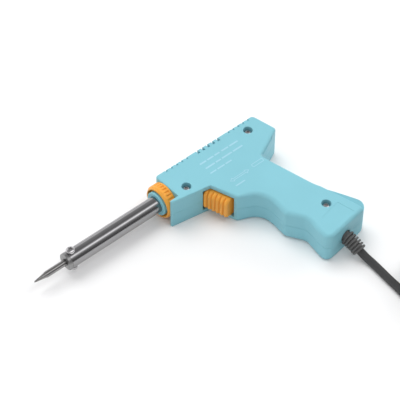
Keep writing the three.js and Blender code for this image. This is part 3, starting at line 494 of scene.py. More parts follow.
def woven(name, colour, scale=1500.0):
    """Braided or woven strands, from two crossed bands."""
    tree, shader = new_material(name)
    spot = add_node(tree, "TexCoord").outputs["Object"]
    inputs = {"Scale": scale, "Distortion": 1.5, "Detail": 2.0, "Vector": spot}
    waves = [add_node(tree, "TexWave", inputs, bands_direction=axis).outputs["Fac"] for axis in "XY"]
    strands = spread(tree, waves[0], 0.0, 1.0, 0.0, 1.0)
    inputs = {
        "Base Color": blend(tree, strands, scaled(colour, 0.7), scaled(colour)),
        "Roughness": 0.85,
        "Normal": add_bump(tree, [(wave, 0.6) for wave in waves], 0.0001),
    }
    set_inputs(tree, shader, inputs)


EVEN_MARKS = (400.0, 400.0, 400.0)
plastic("shell_blue", (0.236, 0.540, 0.622), 0.42, shift=0.03, relief=0.10)
plastic("accent_orange", (0.84, 0.370, 0.055), 0.40, relief=0.10)
metal("polished_steel", (0.35, 0.347, 0.352), 0.14, relief=0.12, spots=0.12)
metal("screw_steel", (0.66, 0.65, 0.66), 0.20, marks=EVEN_MARKS, spots=0.2)
metal("holder_steel", (0.36, 0.36, 0.36), 0.36, marks=EVEN_MARKS, spots=0.2)
metal("tip_metal", (0.36, 0.355, 0.35), 0.27, spots=0.3)
metal("heating_wire", (0.16, 0.14, 0.13), 0.5, marks=(500.0, 60.0, 60.0), relief=0.4)
plastic("ceramic", (0.80, 0.77, 0.68), 0.55, grain=900.0, relief=0.3)
plastic("mica", (0.56, 0.43, 0.22), 0.35, shift=0.3, grain=500.0, relief=0.3)
plastic("black_plastic", (0.02, 0.02, 0.022), 0.42, shift=0.2)
metal("brass", (0.62, 0.44, 0.16), 0.28, marks=(300.0, 300.0, 300.0))
metal("plug_pin_metal", (0.66, 0.64, 0.60), 0.2, marks=(900.0, 6.0, 900.0))
plastic("cream_plastic", (0.78, 0.72, 0.58), 0.45)
rubber("cord_rubber", (0.041, 0.041, 0.042))
rubber("relief_rubber", (0.088, 0.088, 0.087))
rubber("lead_brown", (0.14, 0.06, 0.03), 0.45)
rubber("lead_blue", (0.03, 0.10, 0.38), 0.45)
plastic("print_ink", (0.35, 0.62, 0.73), 0.5, shift=0.05)
woven("glass_braid", (0.78, 0.77, 0.72))

for entry in frame["record"]["subparts"]:
    node = frame["nodes"].get(entry["node"])
    if node and node.material_slots:
        for material_slot in node.material_slots:
            material_slot.material = MATERIALS[entry["material_slot"]]

# ---------------- mesh helpers


def mesh_object(name, vertices, faces):
    """A mesh object in the gun frame, in millimetres, with its faces pointing out."""
    mesh = bpy.data.meshes.new(name)
    mesh.from_pydata([tuple(v) for v in vertices], [], [tuple(f) for f in faces])
    obj = add_object(name, mesh)
    face_out(mesh)
    return obj


@contextmanager
def editing(mesh):
    bm = bmesh.new()
    bm.from_mesh(mesh)
    yield bm
    bm.to_mesh(mesh)
    bm.free()


def face_out(mesh):
    with editing(mesh) as bm:
        bmesh.ops.remove_doubles(bm, verts=bm.verts, dist=1e-5)
        caps = [face for face in bm.faces if len(face.verts) > 4]
        bmesh.ops.triangulate(bm, faces=caps, ngon_method="EAR_CLIP")
        bmesh.ops.recalc_face_normals(bm, faces=bm.faces)
        if bm.calc_volume(signed=True) < 0:
            bmesh.ops.reverse_faces(bm, faces=bm.faces)


def boolean(target, operation, *tools):
    """Applies one boolean after another to target and deletes the tools."""
    for tool in tools:
        modifier = target.modifiers.new("boolean", "BOOLEAN")
        modifier.operation = operation
        modifier.solver = "MANIFOLD"
        modifier.object = tool
        graph = bpy.context.evaluated_depsgraph_get()
        result = bpy.data.meshes.new_from_object(target.evaluated_get(graph))
        target.modifiers.clear()
        old = target.data
        target.data = result
        bpy.data.meshes.remove(old)
        bpy.data.objects.remove(tool, do_unlink=True)
    return target


def merge_close(mesh):
    """Merges points less than a micrometre apart, which also removes faces without an area."""
    with editing(mesh) as bm:
        bmesh.ops.remove_doubles(bm, verts=bm.verts, dist=0.001)


def place(obj, body, slot_name, replaces=(), smooth=32.0, weigh_normals=True):
    """Moves a finished mesh into the row frame, shades it and gives it its body and material."""
    mesh = obj.data
    merge_close(mesh)
    mesh.transform(TO_ROW)
    mesh.materials.clear()
    mesh.materials.append(MATERIALS[slot_name])
    mesh.shade_smooth()
    mesh.set_sharp_from_angle(angle=math.radians(smooth))
    if weigh_normals:
        weighted = obj.modifiers.new("weighted", "WEIGHTED_NORMAL")
        weighted.keep_sharp = True
    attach(obj, body)
    if replaces:
        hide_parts(*replaces)
    return obj


def arc_path(points, step=math.radians(12)):
    """An open path of (a, b, fillet) points with its inner corners rounded."""
    path = [Vector(points[0][:2])]
    for before, here, after in zip(points, points[1:], points[2:]):
        corner = Vector(here[:2])
        into = (corner - Vector(before[:2])).normalized()
        out = (Vector(after[:2]) - corner).normalized()
        turn = math.acos(max(-1.0, min(1.0, into.dot(out))))
        if here[2] <= 0 or turn < 0.02:
            path.append(corner)
            continue
        reach = here[2] * math.tan(turn / 2)
        side = 1.0 if into.x * out.y - into.y * out.x > 0 else -1.0
        start = corner - into * reach
        centre = start + Vector((-into.y, into.x)) * side * here[2]
        count = max(2, math.ceil(turn / step))
        for i in range(count + 1):
            spoke = start - centre
            spoke.rotate(Matrix.Rotation(side * turn * i / count, 2))
            path.append(centre + spoke)
    path.append(Vector(points[-1][:2]))
    return path


def lathe(name, points, sides, matrix=Matrix(), wave=None):
    """A solid of revolution about its local z axis, from (z, radius, fillet) points.

    A path that starts and ends at radius 0 is a solid; otherwise its ends are joined, as on a
    ring. wave(z, radius, angle) may return a changed radius.
    """
    path = [Vector((p.y, p.x)) for p in arc_path(points)]
    on_axis = path[0].x < 1e-6 and path[-1].x < 1e-6
    vertices, rings = [], []
    for radius, z in path:
        if radius < 1e-6:
            rings.append([len(vertices)])
            vertices.append(matrix @ Vector((0.0, 0.0, z)))
            continue
        rings.append(list(range(len(vertices), len(vertices) + sides)))
        for i in range(sides):
            angle = 2 * math.pi * i / sides
            r = wave(z, radius, angle) if wave else radius
            vertices.append(matrix @ Vector((r * math.cos(angle), r * math.sin(angle), z)))
    pairs = list(zip(rings, rings[1:]))
    if not on_axis:
        pairs.append((rings[-1], rings[0]))
    faces = []
    for low, high in pairs:
        for i in range(sides):
            j = (i + 1) % sides
            if len(low) == 1:
                faces.append((low[0], high[i], high[j]))
            elif len(high) == 1:
                faces.append((low[i], high[0], low[j]))
            else:
                faces.append((low[i], high[i], high[j], low[j]))
    return mesh_object(name, vertices, faces)


def axis_matrix(direction, origin=(0.0, 0.0, 0.0)):
    """Takes local z to a direction in the gun frame."""
    turn = Vector((0.0, 0.0, 1.0)).rotation_difference(Vector(direction)).to_matrix().to_4x4()
    return Matrix.Translation(Vector(origin)) @ turn


ALONG_X = axis_matrix((1.0, 0.0, 0.0))


def rod(name, radius, start, end, sides=48):
    """A plain cylinder between two points."""
    start, end = Vector(start), Vector(end)
    length = (end - start).length
    points = [(0.0, 0.0, 0.0), (0.0, radius, 0.0), (length, radius, 0.0), (length, 0.0, 0.0)]
    return lathe(name, points, sides, axis_matrix((end - start).normalized(), start))


def post(centre, radius, low, high, sides=40):
    """A cylinder across the housing, from z = low to z = high."""
    return rod("post", radius, (*centre, low), (*centre, high), sides)


def skin(name, rings, closed=False):
    """A solid through rings of equally many points: capped at both ends, or joined into a loop."""
    count = len(rings[0])
    starts = range(0, len(rings) * count, count)
    faces = []
    for a, b in zip(starts, [*starts[1:], starts[0]] if closed else starts[1:]):
        for i in range(count):
            j = (i + 1) % count
            faces.append((a + i, a + j, b + j, b + i))
    if not closed:
        faces.append(range(count)[::-1])
        faces.append(range(starts[-1], starts[-1] + count))
    return mesh_object(name, [point for ring in rings for point in ring], faces)


def block(name, low, high):
    """A box between two opposite corners."""
    (x0, y0, z0), (x1, y1, z1) = low, high
    return skin(name, [[(x, y0, z0), (x, y0, z1), (x, y1, z1), (x, y1, z0)] for x in (x0, x1)])


def rectangle(low, high, fillet):
    """Clockwise corners for rounded_outline()."""
    (x0, y0), (x1, y1) = low, high
    return [(x, y, fillet, 0.0) for x, y in ((x0, y1), (x1, y1), (x1, y0), (x0, y0))]


def ease(value, low=0.0, high=1.0):
    """From 0 to 1 as value goes from low to high, starting and ending softly."""
    share = max(0.0, min(1.0, (value - low) / (high - low)))
    return share * share * (3 - 2 * share)


def rounded_outline(corners, spacing=3.0):
    """Points, inward normals and edge radii around a clockwise outline of (x, y, fillet, edge)."""
    spots = [Vector(corner[:2]) for corner in corners]
    along = [(after - spot).normalized() for spot, after in zip(spots, spots[1:] + spots[:1])]
    arcs = []
    for i, (x, y, fillet, edge) in enumerate(corners):
        before, after = along[i - 1], along[i]
        convex = before.x * after.y - before.y * after.x < 0
        side = 1.0 if convex else -1.0
        turn = math.acos(max(-1.0, min(1.0, before.dot(after))))
        inward = Vector((before.y, -before.x))
        start = Vector((x, y)) - before * fillet * math.tan(turn / 2)
        centre = start + inward * side * fillet
        steps = max(3, math.ceil(turn / math.radians(9)), math.ceil(fillet * turn / spacing))
        edge = min(edge, 0.85 * fillet) if convex else edge
        arc = []
        for k in range(steps + 1):
            spin = Matrix.Rotation(-side * turn * k / steps, 2)
            spoke, normal = start - centre, inward.copy()
            spoke.rotate(spin)
            normal.rotate(spin)
            arc.append((centre + spoke, normal, edge))
        arcs.append(arc)
    points, normals, edges = [], [], []
    for arc, following in zip(arcs, arcs[1:] + arcs[:1]):
        for point, normal, edge in arc:
            points.append(point)
            normals.append(normal)
            edges.append(edge)
        (last, normal, edge), (first, _, next_edge) = arc[-1], following[0]
        steps = math.ceil((first - last).length / spacing)
        for k in range(1, steps):
            share = k / steps
            points.append(last.lerp(first, share))
            normals.append(normal)
            edges.append(edge + (next_edge - edge) * ease(share))
    return np.array(points), np.array(normals), np.array(edges)


def ringed_solid(name, outline, rings):
    """A closed solid through rings of one outline. rings are (inset, z), numbers or arrays."""
    points, normals, _ = outline
    count = len(points)
    stack = []
    for inset, z in rings:
        flat = points + normals * np.reshape(inset, (-1, 1)) * np.ones((count, 1))
        stack.append(list(zip(flat[:, 0], flat[:, 1], np.broadcast_to(z, count))))
    return skin(name, stack)


def quarter_round(edge, top, steps, sign=1.0):
    """Rings of a rounded edge that starts on the rim and ends on the flat at z = top."""
    rings = []
    for k in range(steps + 1):
        angle = math.pi / 2 * k / steps
        rings.append((edge * (1 - math.cos(angle)), top - sign * edge * (1 - math.sin(angle))))
    return rings


# ---------------- cord


def bezier(points, share):
    a, b, c, d = points
    rest = 1 - share
    return a * rest**3 + b * 3 * share * rest**2 + c * 3 * share**2 * rest + d * share**3


def coil_point(angle):
    radius = COIL_RADII[0]
    ring_step = COIL_RADII[0] - COIL_RADII[1]
    radius -= sum(ring_step * ease(angle, *window) for window in STEPS_IN)
    radius += sum(ring_step * ease(angle, *window) for window in STEPS_OUT)
    z = COIL_LOW_Z + (COIL_HIGH_Z - COIL_LOW_Z) * ease(angle, *CLIMB)
    spin = math.radians(angle)
    return (COIL_CENTRE[0] + radius * math.cos(spin), COIL_CENTRE[1] + radius * math.sin(spin), z)


def smooth_line(points, spacing):
    """A Catmull-Rom line through the points, resampled evenly."""
    spots = [np.array(point, float) for point in points]
    spots = [2 * spots[0] - spots[1]] + spots + [2 * spots[-1] - spots[-2]]
    line = []
    for a, b, c, d in zip(spots, spots[1:], spots[2:], spots[3:]):
        for t in np.linspace(0, 1, 12, endpoint=False):
            square = (2 * a - 5 * b + 4 * c - d) * t**2
            cube = (3 * b - a - 3 * c + d) * t**3
            line.append(0.5 * (2 * b + (c - a) * t + square + cube))
    line.append(spots[-2])
    line = np.array(line)
    travelled = np.concatenate([[0], np.cumsum(np.linalg.norm(np.diff(line, axis=0), axis=1))])
    even = np.linspace(0, travelled[-1], max(2, round(travelled[-1] / spacing)))
    return np.stack([np.interp(even, travelled, line[:, k]) for k in range(3)], axis=1)


def add_cord():
    """The whole mains cord as one round curve, and its length in metres."""
    inside = [bezier(RELIEF_POINTS, share) for share in (0.90, 0.95, 1.0)]
    count = int((COIL_END - COIL_START) / COIL_STEP) + 1
    turns = [coil_point(COIL_START + k * COIL_STEP) for k in range(count)]
    line = smooth_line([*inside, *CORD_POINTS, *turns, *TAIL_POINTS], 2.0)
    length = float(np.linalg.norm(np.diff(line, axis=0), axis=1).sum()) * MM
    curve = bpy.data.curves.new("mains_cord", "CURVE")
    curve.dimensions = "3D"
    curve.bevel_depth = CORD_RADIUS * MM
    curve.bevel_resolution = 7
    curve.use_fill_caps = True
    spline = curve.splines.new("POLY")
    spline.points.add(len(line) - 1)
    for point, spot in zip(spline.points, line):
        point.co = (*row(*spot), 1.0)
    cord = add_object("mains_cord", curve)
    curve.materials.append(MATERIALS["cord_rubber"])
    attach(cord, "housing")
    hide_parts("power_cord", "cord_tail", "cord_coil")
    return cord, length


cord, cord_length = add_cord()

# ---------------- housing shells


def inner_corners():
    """The cavity's outline: the housing's own, with every outer corner wide enough for the wall."""
    corners = HOUSING + ((FRONT_X, -18.1, 1.2, 1.0),)
    count = len(corners)
    for i, (x, y, fillet, _) in enumerate(corners):
        (x0, y0), (x1, y1) = corners[i - 1][:2], corners[(i + 1) % count][:2]
        convex = (x - x0) * (y1 - y) - (y - y0) * (x1 - x) < 0
        yield (x, y, max(fillet, WALL + 0.8) if convex else fillet, 0.0)


def shell_blank(name):
    """One half of the housing, hollow, with its rim at the seam and its rounded edge on top."""
    outline = rounded_outline(HOUSING + LIP_AND_NOSE, 1.3)
    edges = outline[2]
    low = SEAM + SEAM_BEVEL
    rings = [(SEAM_BEVEL, SEAM), (0.0, low)]
    rings += [(0.0, low + (HALF - edges - low) * share) for share in (0.35, 0.7)]
    rings += quarter_round(edges, HALF, 8)
    rings.append((edges * 1.1, HALF))
    shell = ringed_solid(name, outline, rings)
    cavity_rings = [(WALL, -1.0), (WALL, CAVITY_TOP - 2.0)]
    cavity_rings += [(WALL + inset, z) for inset, z in quarter_round(1.8, CAVITY_TOP, 3)]
    cavity = ringed_solid("cavity", rounded_outline(tuple(inner_corners())), cavity_rings)
    # The wall keeps its thickness under the ledge, so the cavity gives way there.
    backing_rings = [(-WALL, HALF - LEDGE_DEPTH - 1.8), (-WALL, HALF)]
    boolean(cavity, "DIFFERENCE", ringed_solid("ledge_backing", rounded_outline(LEDGE), backing_rings))
    return boolean(shell, "DIFFERENCE", cavity)


def half_neck():
    """The nose ring's half: a rod about the barrel axis, cut off at the seam."""
    front = NECK_FRONT_X
    points = [(front, 0.0, 0.0), (front, NECK_RADIUS, 0.7), (6.0, NECK_RADIUS, 0.0), (6.0, 0.0, 0.0)]
    neck = lathe("neck", points, 96, ALONG_X)
    return boolean(neck, "INTERSECT", block("upper_half", (-20, -30, SEAM), (40, 30, 30)))


def inner_blocks(table):
    return [block("inside", (x0, y0, z), (x1, y1, ROOF)) for x0, y0, x1, y1, z in table]


def shared_inside():
    """Ribs, spring seat, switch pad and pivot boss, as both shells have them."""
    return [*inner_blocks(SHARED_BLOCKS), post(PIVOT, PIVOT_BOSS_RADIUS, SLOT_HALF_WIDTH + 0.2, ROOF)]


def vent_tools():
    for start, depth, floor in VENT_GROUPS:
        for i in range(VENTS_IN_GROUP):
            x = start + i * VENT_PITCH
            low = (x - VENT_WIDTH / 2, TOP_Y - depth, floor)
            yield block("vent", low, (x + VENT_WIDTH / 2, TOP_Y + 1, HALF + 1))


def ledge_tool():
    """Cuts the grip's low step, with a sloped and softened riser."""
    floor = HALF - LEDGE_DEPTH
    rings = [(0.2, floor), (0.0, floor + 0.1), (-0.15, floor + 0.4)]
    rings += [(-0.6, HALF - 0.25), (-1.0, HALF + 0.02), (-1.7, HALF + 0.5)]
    ledge = ringed_solid("ledge", rounded_outline(LEDGE), rings)
    start = Vector(LEDGE[0][:2])
    along = (Vector(LEDGE[-1][:2]) - start).normalized()
    for vertex in ledge.data.vertices:
        if vertex.co.z < floor + 0.5:
            away = Vector(vertex.co[:2]) - start
            vertex.co.z += LEDGE_SLOPE * (away.y * along.x - away.x * along.y)
    return ledge


def label_recess_tool():
    half_x, half_y = LABEL_HALF_SIZE
    outline = rounded_outline(rectangle((-half_x, -half_y), (half_x, half_y), 1.5))
    field = ringed_solid("label_field", outline, [(0.0, HALF - LABEL_DEPTH), (-0.2, HALF + 1.0)])
    field.data.transform(Matrix.Translation(LABEL_CENTRE) @ Matrix.Rotation(LABEL_TURN, 4, "Z"))
    return field


def shared_cuts():
    """Barrel bore, trigger slot, pin hole, cord hole, ledge, tail groove and vents."""
    near, far = BUTT_EXIT - BUTT_NORMAL * 5, BUTT_EXIT + BUTT_NORMAL * 5
    return [
        rod("bore", BARREL_RADIUS + 0.12, (-20, 0, 0), (40, 0, 0), 96),
        ringed_solid("slot", rounded_outline(SLOT), [(0.0, -1.0), (0.0, SLOT_HALF_WIDTH)]),
        post(PIVOT, 1.8, -1, 11.3),
        rod("exit_hole", EXIT_HOLE_RADIUS, near, far, 48),
        ledge_tool(),
        ringed_solid("tail_groove", rounded_outline(TAIL_GROOVE), TAIL_GROOVE_RINGS),
        *vent_tools(),
    ]


def recess_tool(centre):
    """A flat-bottomed counterbore with a small chamfer where it meets the surface."""
    points = [
        (RECESS_FLOOR_Z, 0.0, 0.0),
        (RECESS_FLOOR_Z, RECESS_RADIUS - 0.15, 0.3),
        (HALF - 0.3, RECESS_RADIUS, 0.4),
        (HALF + 0.6, RECESS_RADIUS + 0.9, 0.0),
        (HALF + 0.6, 0.0, 0.0),
    ]
    return lathe("recess", points, 64, Matrix.Translation((*centre, 0.0)))


def finish_shell(name, inside, holes):
    """A blank with what both halves have, and with this half's own posts and holes."""
    shell = shell_blank(name)
    columns = [post(c, COLUMN_RADIUS, SEAM, ROOF) for c in SCREW_CENTRES.values()]
    boolean(shell, "UNION", half_neck(), *shared_inside(), *columns, *inside)
    return boolean(shell, "DIFFERENCE", *shared_cuts(), *holes)


def build_left_shell():
    centres = SCREW_CENTRES.values()
    cups = [post(c, RECESS_RADIUS + 1.2, RECESS_FLOOR_Z - 1.2, ROOF) for c in centres]
    holes = [label_recess_tool()] + [recess_tool(c) for c in centres]
    holes += [post(c, SCREW_HOLE_RADIUS, -1, RECESS_FLOOR_Z + 1) for c in centres]
    shell = finish_shell("housing_left", cups, holes)
    place(shell, "housing", "shell_blue", ["left_shell"])


def build_right_shell():
    """Built facing up like the left shell, then mirrored at the seam."""
    inside = inner_blocks(RIGHT_BLOCKS) + [post(c, 2.6, SEAM, ROOF, 24) for c in CLAMP_POSTS]
    holes = [post(c, SCREW_HOLE_RADIUS, -1, 9.3) for c in SCREW_CENTRES.values()]
    holes += [post(c, 1.4, -1, 7) for c in CLAMP_POSTS]
    shell = finish_shell("housing_right", inside, holes)
    shell.data.transform(Matrix.Scale(-1, 4, (0, 0, 1)))
    face_out(shell.data)
    place(shell, "housing", "shell_blue", ["right_shell"])


build_left_shell()
build_right_shell()

# ---------------- screws


def cross_screw(name, matrix, head_radius, head_top, head_height, shank_radius, end):
    """A pan-head screw with a tapered cross recess, its head towards local +z."""
    under = head_top - head_height
    points = [
        (end, 0.0, 0.0),
        (end, shank_radius * 0.45, 0.0),
        (end + shank_radius, shank_radius, 0.2),
        (under, shank_radius, 0.1),
        (under, head_radius, 0.25),
        (under + head_height * 0.55, head_radius, head_radius * 0.25),
        (head_top - head_height * 0.06, head_radius * 0.6, head_radius * 1.2),
        (head_top, 0.0, 0.0),
    ]
    screw = lathe(name, points, 56)
    reach, half = head_radius * 0.68, head_radius * 0.16
    floor = head_top - min(head_height * 0.75, head_radius * 0.5)
    for turned in (0.0, math.pi / 2):
        slot = block("slot", (-reach, -half, floor), (reach, half, head_top + 1))
        for vertex in slot.data.vertices:
            if vertex.co.z < head_top:
                vertex.co.x *= 0.45
                vertex.co.y *= 0.7
        slot.data.transform(Matrix.Rotation(turned, 4, "Z"))
        boolean(screw, "DIFFERENCE", slot)
    socket = rod("socket", head_radius * 0.26, (0, 0, floor - 0.1), (0, 0, head_top + 1), 24)
    boolean(screw, "DIFFERENCE", socket)
    screw.data.transform(matrix)
    return screw


def tip_screw_lean(side=1.0):
    """The direction in which the upper tip screw's head points, or with side = -1 the lower one's."""
    return Vector((0.0, math.sin(TIP_SCREW_TILT), math.cos(TIP_SCREW_TILT))) * side


for spot, centre in SCREW_CENTRES.items():
    turn = Matrix.Rotation(math.radians(SCREW_TURNS[spot]), 4, "Z")
    screw = cross_screw(f"case_screw_{spot}", Matrix.Translation((*centre, 0.0)) @ turn, *CASE_SCREW)
    place(screw, "housing", "screw_steel", [f"housing_screw_{spot}"], smooth=40)

for spot, side in (("upper", 1.0), ("lower", -1.0)):
    turn = Matrix.Rotation(TIP_SCREW_TURN, 4, "Z")
    at = axis_matrix(tip_screw_lean(side), (TIP_SCREW_X, 0.0, 0.0)) @ turn
    screw = cross_screw(f"clamp_screw_tip_{spot}", at, *TIP_SCREW)
    place(screw, f"tip_screw_{spot}", "screw_steel", [f"tip_screw_{spot}"], smooth=40)

# ---------------- collar nut, barrel and tip


def build_collar():
    front, rear, bore = COLLAR_FRONT_X, COLLAR_REAR_X, NECK_RADIUS + 0.2
    points = [
        (rear, (bore + COLLAR_RADIUS) / 2, 0.0),
        (rear, bore, 0.2),
        (front + 3.6, bore, 0.2),
        (front + 3.2, bore + 1.0, 0.3),
        (front, bore + 1.5, 0.3),
        (front, COLLAR_RADIUS - 1.3, 0.9),
        (front + 1.9, COLLAR_RADIUS, 1.6),
        *((front + offset, COLLAR_RADIUS, 0.0) for offset in (2.9, 3.4, 3.9, 4.4, 5.4, 6.4)),
        (rear - 1.4, COLLAR_RADIUS, 0.0),
        (rear - 1.1, COLLAR_RADIUS, 0.0),
        (rear, COLLAR_RADIUS, 0.4),
    ]

    def notched(z, radius, angle):
        """Scoops that start near the front edge, deepen and end at a wall near the rear."""
        if radius < COLLAR_RADIUS - 0.9:
            return radius
        phase = (angle / (2 * math.pi) * COLLAR_NOTCHES) % 1.0
        valley = ease(phase, 0.36, 0.60) - ease(phase, 0.80, 0.98)
        along = ease(z, front + 2.2, front + 5.2) * (1 - ease(z, rear - 1.4, rear - 1.1))
        return radius - NOTCH_DEPTH * valley * along

    collar = lathe("collar_nut_visual", points, COLLAR_NOTCHES * 12, ALONG_X, notched)
    place(collar, "collar", "accent_orange", ["collar_nut"], smooth=50)


def tip_screw_bore(radius):
    middle = Vector((TIP_SCREW_X, 0.0, 0.0))
    reach = tip_screw_lean() * 20
    return rod("bore", radius, middle - reach, middle + reach, 36)


def build_barrel():
    bore, radius, front = BARREL_BORE, BARREL_RADIUS, BARREL_FRONT_X
    points = [
        (-30.0, bore, 0.0),
        (front, bore, 0.15),
        (front, radius, 0.3),
        *((x, radius, 0.0) for x in (-80.0, -50.0, -20.0, 30.0)),
        (30.0, bore, 0.0),
    ]
    barrel = lathe("barrel", points, 128, ALONG_X)
    boolean(barrel, "DIFFERENCE", tip_screw_bore(1.75))
    place(barrel, "housing", "polished_steel", ["barrel_tube"])


def build_holder():
    """A plug in the barrel's front end, with a rim over the barrel's edge and a bore for the tip."""
    seat, radius, bore = BARREL_FRONT_X - 0.12, BARREL_BORE - 0.15, TIP_RADIUS + 0.2
    points = [
        (HOLDER_FRONT_X, 0.0, 0.0),
        (HOLDER_FRONT_X, BARREL_RADIUS, 0.45),
        (seat, BARREL_RADIUS, 0.15),
        (seat, radius, 0.0),
        (HOLDER_REAR_X, radius, 0.3),
        (HOLDER_REAR_X, 0.0, 0.0),
    ]
    holder = lathe("tip_holder_visual", points, 96, ALONG_X)
    front, rear = HOLDER_FRONT_X - 1.0, HOLDER_REAR_X + 1.0
    points = [
        (front, 0.0, 0.0),
        (front, bore + 1.0, 0.0),
        (HOLDER_FRONT_X + 0.4, bore, 0.1),
        (rear, bore, 0.0),
        (rear, 0.0, 0.0),
    ]
    boolean(holder, "DIFFERENCE", lathe("mouth", points, 48, ALONG_X), tip_screw_bore(1.6))
    place(holder, "housing", "holder_steel", ["tip_holder"])


def build_tip():
    """A round rod with a blunt pencil point; the extra rings keep its long faces from twisting."""
    points = [
        (-126.7, 0.0, 0.0),
        (-126.6, 0.52, 0.2),
        (-124.4, 0.95, 2.0),
        (-116.5, 2.16, 0.15),
        (-116.2, TIP_RADIUS, 0.15),
        (-100.0, TIP_RADIUS, 0.0),
        (-80.0, TIP_RADIUS, 0.0),
        (TIP_REAR_X, TIP_RADIUS, 0.4),
        (TIP_REAR_X, 0.0, 0.0),
    ]
    tip = lathe("tip", points, 48, ALONG_X)
    place(tip, "tip", "tip_metal", ["soldering_tip"])


build_collar()
build_barrel()
build_holder()
build_tip()

# ---------------- trigger and its spring


def pad_section(relief):
    """Half of the finger pad's cross section as (forward, z), from its back to its middle."""
    half = TRIGGER_HALF_WIDTH - RIB_HEIGHT
    yield (-PAD_DEPTH, half + RIB_HEIGHT)
    yield (-PAD_ROUND - 1.6, half + RIB_HEIGHT)
    for k in range(11):
        angle = math.pi / 2 * k / 10
        out = PAD_ROUND + relief
        yield (out * math.sin(angle) - PAD_ROUND, half - PAD_ROUND + out * math.cos(angle))
    yield (relief, 0.0)


def finger_pad():
    """The ribbed pad: one cross section after another along its face, ribs wrapping its edges."""
    face = FACE_BOTTOM - FACE_TOP
    down = face.normalized()
    forward = Vector((down.y, -down.x))
    steps = RIBS * RIB_STEPS
    rings = []
    for k in range(steps + 1):
        relief = RIB_HEIGHT * abs(math.sin(k / RIB_STEPS * math.pi)) ** RIB_POWER
        half = list(pad_section(relief))
        ring = []
        for along, z in half + [(along, -z) for along, z in half[-2::-1]]:
            spot = FACE_TOP + face * (k / steps) + forward * along
            ring.append((spot.x, spot.y, z))
        rings.append(ring)
    return skin("trigger_visual", rings)


def build_trigger():
    half = TRIGGER_HALF_WIDTH - 0.05
    rings = quarter_round(0.4, -half, 3, -1.0)[::-1] + quarter_round(0.4, half, 3)
    trigger = boolean(finger_pad(), "UNION", ringed_solid("lug", rounded_outline(LUG, 2.0), rings))
    boolean(trigger, "DIFFERENCE", post(PIVOT, PIN_BORE_RADIUS, -20, 20))
    place(trigger, "trigger", "accent_orange", ["trigger"], smooth=44)


def build_spring():
    """The trigger's return spring: five open turns between a closed one at each end."""
    low, high = SPRING_FRONT_X + SPRING_WIRE, SPRING_REAR_X - SPRING_WIRE
    turns_at = (0, 1, SPRING_TURNS - 1, SPRING_TURNS)
    x_at = (low, low + SPRING_END_PITCH, high - SPRING_END_PITCH, high)
    rings = []
    for k in range(SPRING_TURNS * SPRING_STEPS + 1):
        turns = k / SPRING_STEPS
        x = float(np.interp(turns, turns_at, x_at))
        spin = 2 * math.pi * turns
        ring = []
        for side in range(SPRING_SIDES):
            around = 2 * math.pi * side / SPRING_SIDES
            reach = SPRING_RADIUS + SPRING_WIRE * math.cos(around)
            y = SPRING_Y + reach * math.cos(spin)
            ring.append((x + SPRING_WIRE * math.sin(around), y, reach * math.sin(spin)))
        rings.append(ring)
    spring = skin("return_spring", rings)
    place(spring, "housing", "polished_steel", ["trigger_spring"], smooth=50, weigh_normals=False)
    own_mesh(spring)


build_trigger()
build_spring()

# ---------------- strain relief


def along_relief(share):
    """Point and unit tangent on the relief's centre line; share runs from 0 to 1."""
    before, after = (bezier(RELIEF_POINTS, share + offset) for offset in (-0.001, 0.001))
    return bezier(RELIEF_POINTS, share), (after - before).normalized()


def relief_profile(total):
    """Closed (distance, radius, fillet) profile: a foot in the butt, a neck, rings and a bore."""
    pitch = (total - RELIEF_RINGS_START - RELIEF_RING_THICK) / (RELIEF_RINGS - 1)
    first, last = RELIEF_RING_RADII
    profile = [*RELIEF_FOOT, (RELIEF_RINGS_START, RELIEF_NECK_RADIUS, 0.0)]
    for ring in range(RELIEF_RINGS):
        start = RELIEF_RINGS_START + ring * pitch
        end = start + RELIEF_RING_THICK
        reach = first + (last - first) * ring / (RELIEF_RINGS - 1)
        profile += [(start, reach, RELIEF_RING_EDGE), (end, reach, RELIEF_RING_EDGE)]
        if ring < RELIEF_RINGS - 1:
            profile.append((end + 0.1, RELIEF_CORE_RADIUS, 0.2))
            profile.append((start + pitch - 0.1, RELIEF_CORE_RADIUS, 0.2))
    bore = CORD_RADIUS + 0.15
    return profile + [(total, bore, 0.3), (total - 3.0, bore, 0.0), (total - 3.0, 0.0, 0.0)]


def build_strain_relief():
    """Made straight, then bent along its centre line."""
    shares = [k / RELIEF_SAMPLES for k in range(RELIEF_SAMPLES + 1)]
    samples = [bezier(RELIEF_POINTS, share) for share in shares]
    travelled = [0.0]
    for a, b in zip(samples, samples[1:]):
        travelled.append(travelled[-1] + (b - a).length)
    total = travelled[-1]

    def bridged(z, radius, angle):
        """A bridge along one side joins the rings."""
        if z < RELIEF_RINGS_START + 1 or abs(radius - RELIEF_CORE_RADIUS) > 0.3:
            return radius
        lobe = max(0.0, math.cos(angle - RELIEF_BRIDGE_ANGLE)) ** 5
        return radius + RELIEF_BRIDGE_HEIGHT * lobe

    straight = lathe("strain_relief_visual", relief_profile(total), 72, wave=bridged)
    up = Vector((0.0, 0.0, 1.0))
    for vertex in straight.data.vertices:
        s = max(0.0, min(total, vertex.co.z))
        share = float(np.interp(s, travelled, shares))
        here, tangent = along_relief(share)
        side = tangent.cross(up).normalized()
        normal = side.cross(tangent)
        vertex.co = here + side * vertex.co.x + normal * vertex.co.y
    face_out(straight.data)
    place(straight, "housing", "relief_rubber", ["strain_relief"], smooth=45)


build_strain_relief()

# ---------------- printed marks


def printed_slab(corners, inset=0.0, low=HALF - 0.1, top=PRINT_TOP_Z):
    return ringed_solid("print", rounded_outline(corners, 4.0), [(inset, low), (inset, top)])


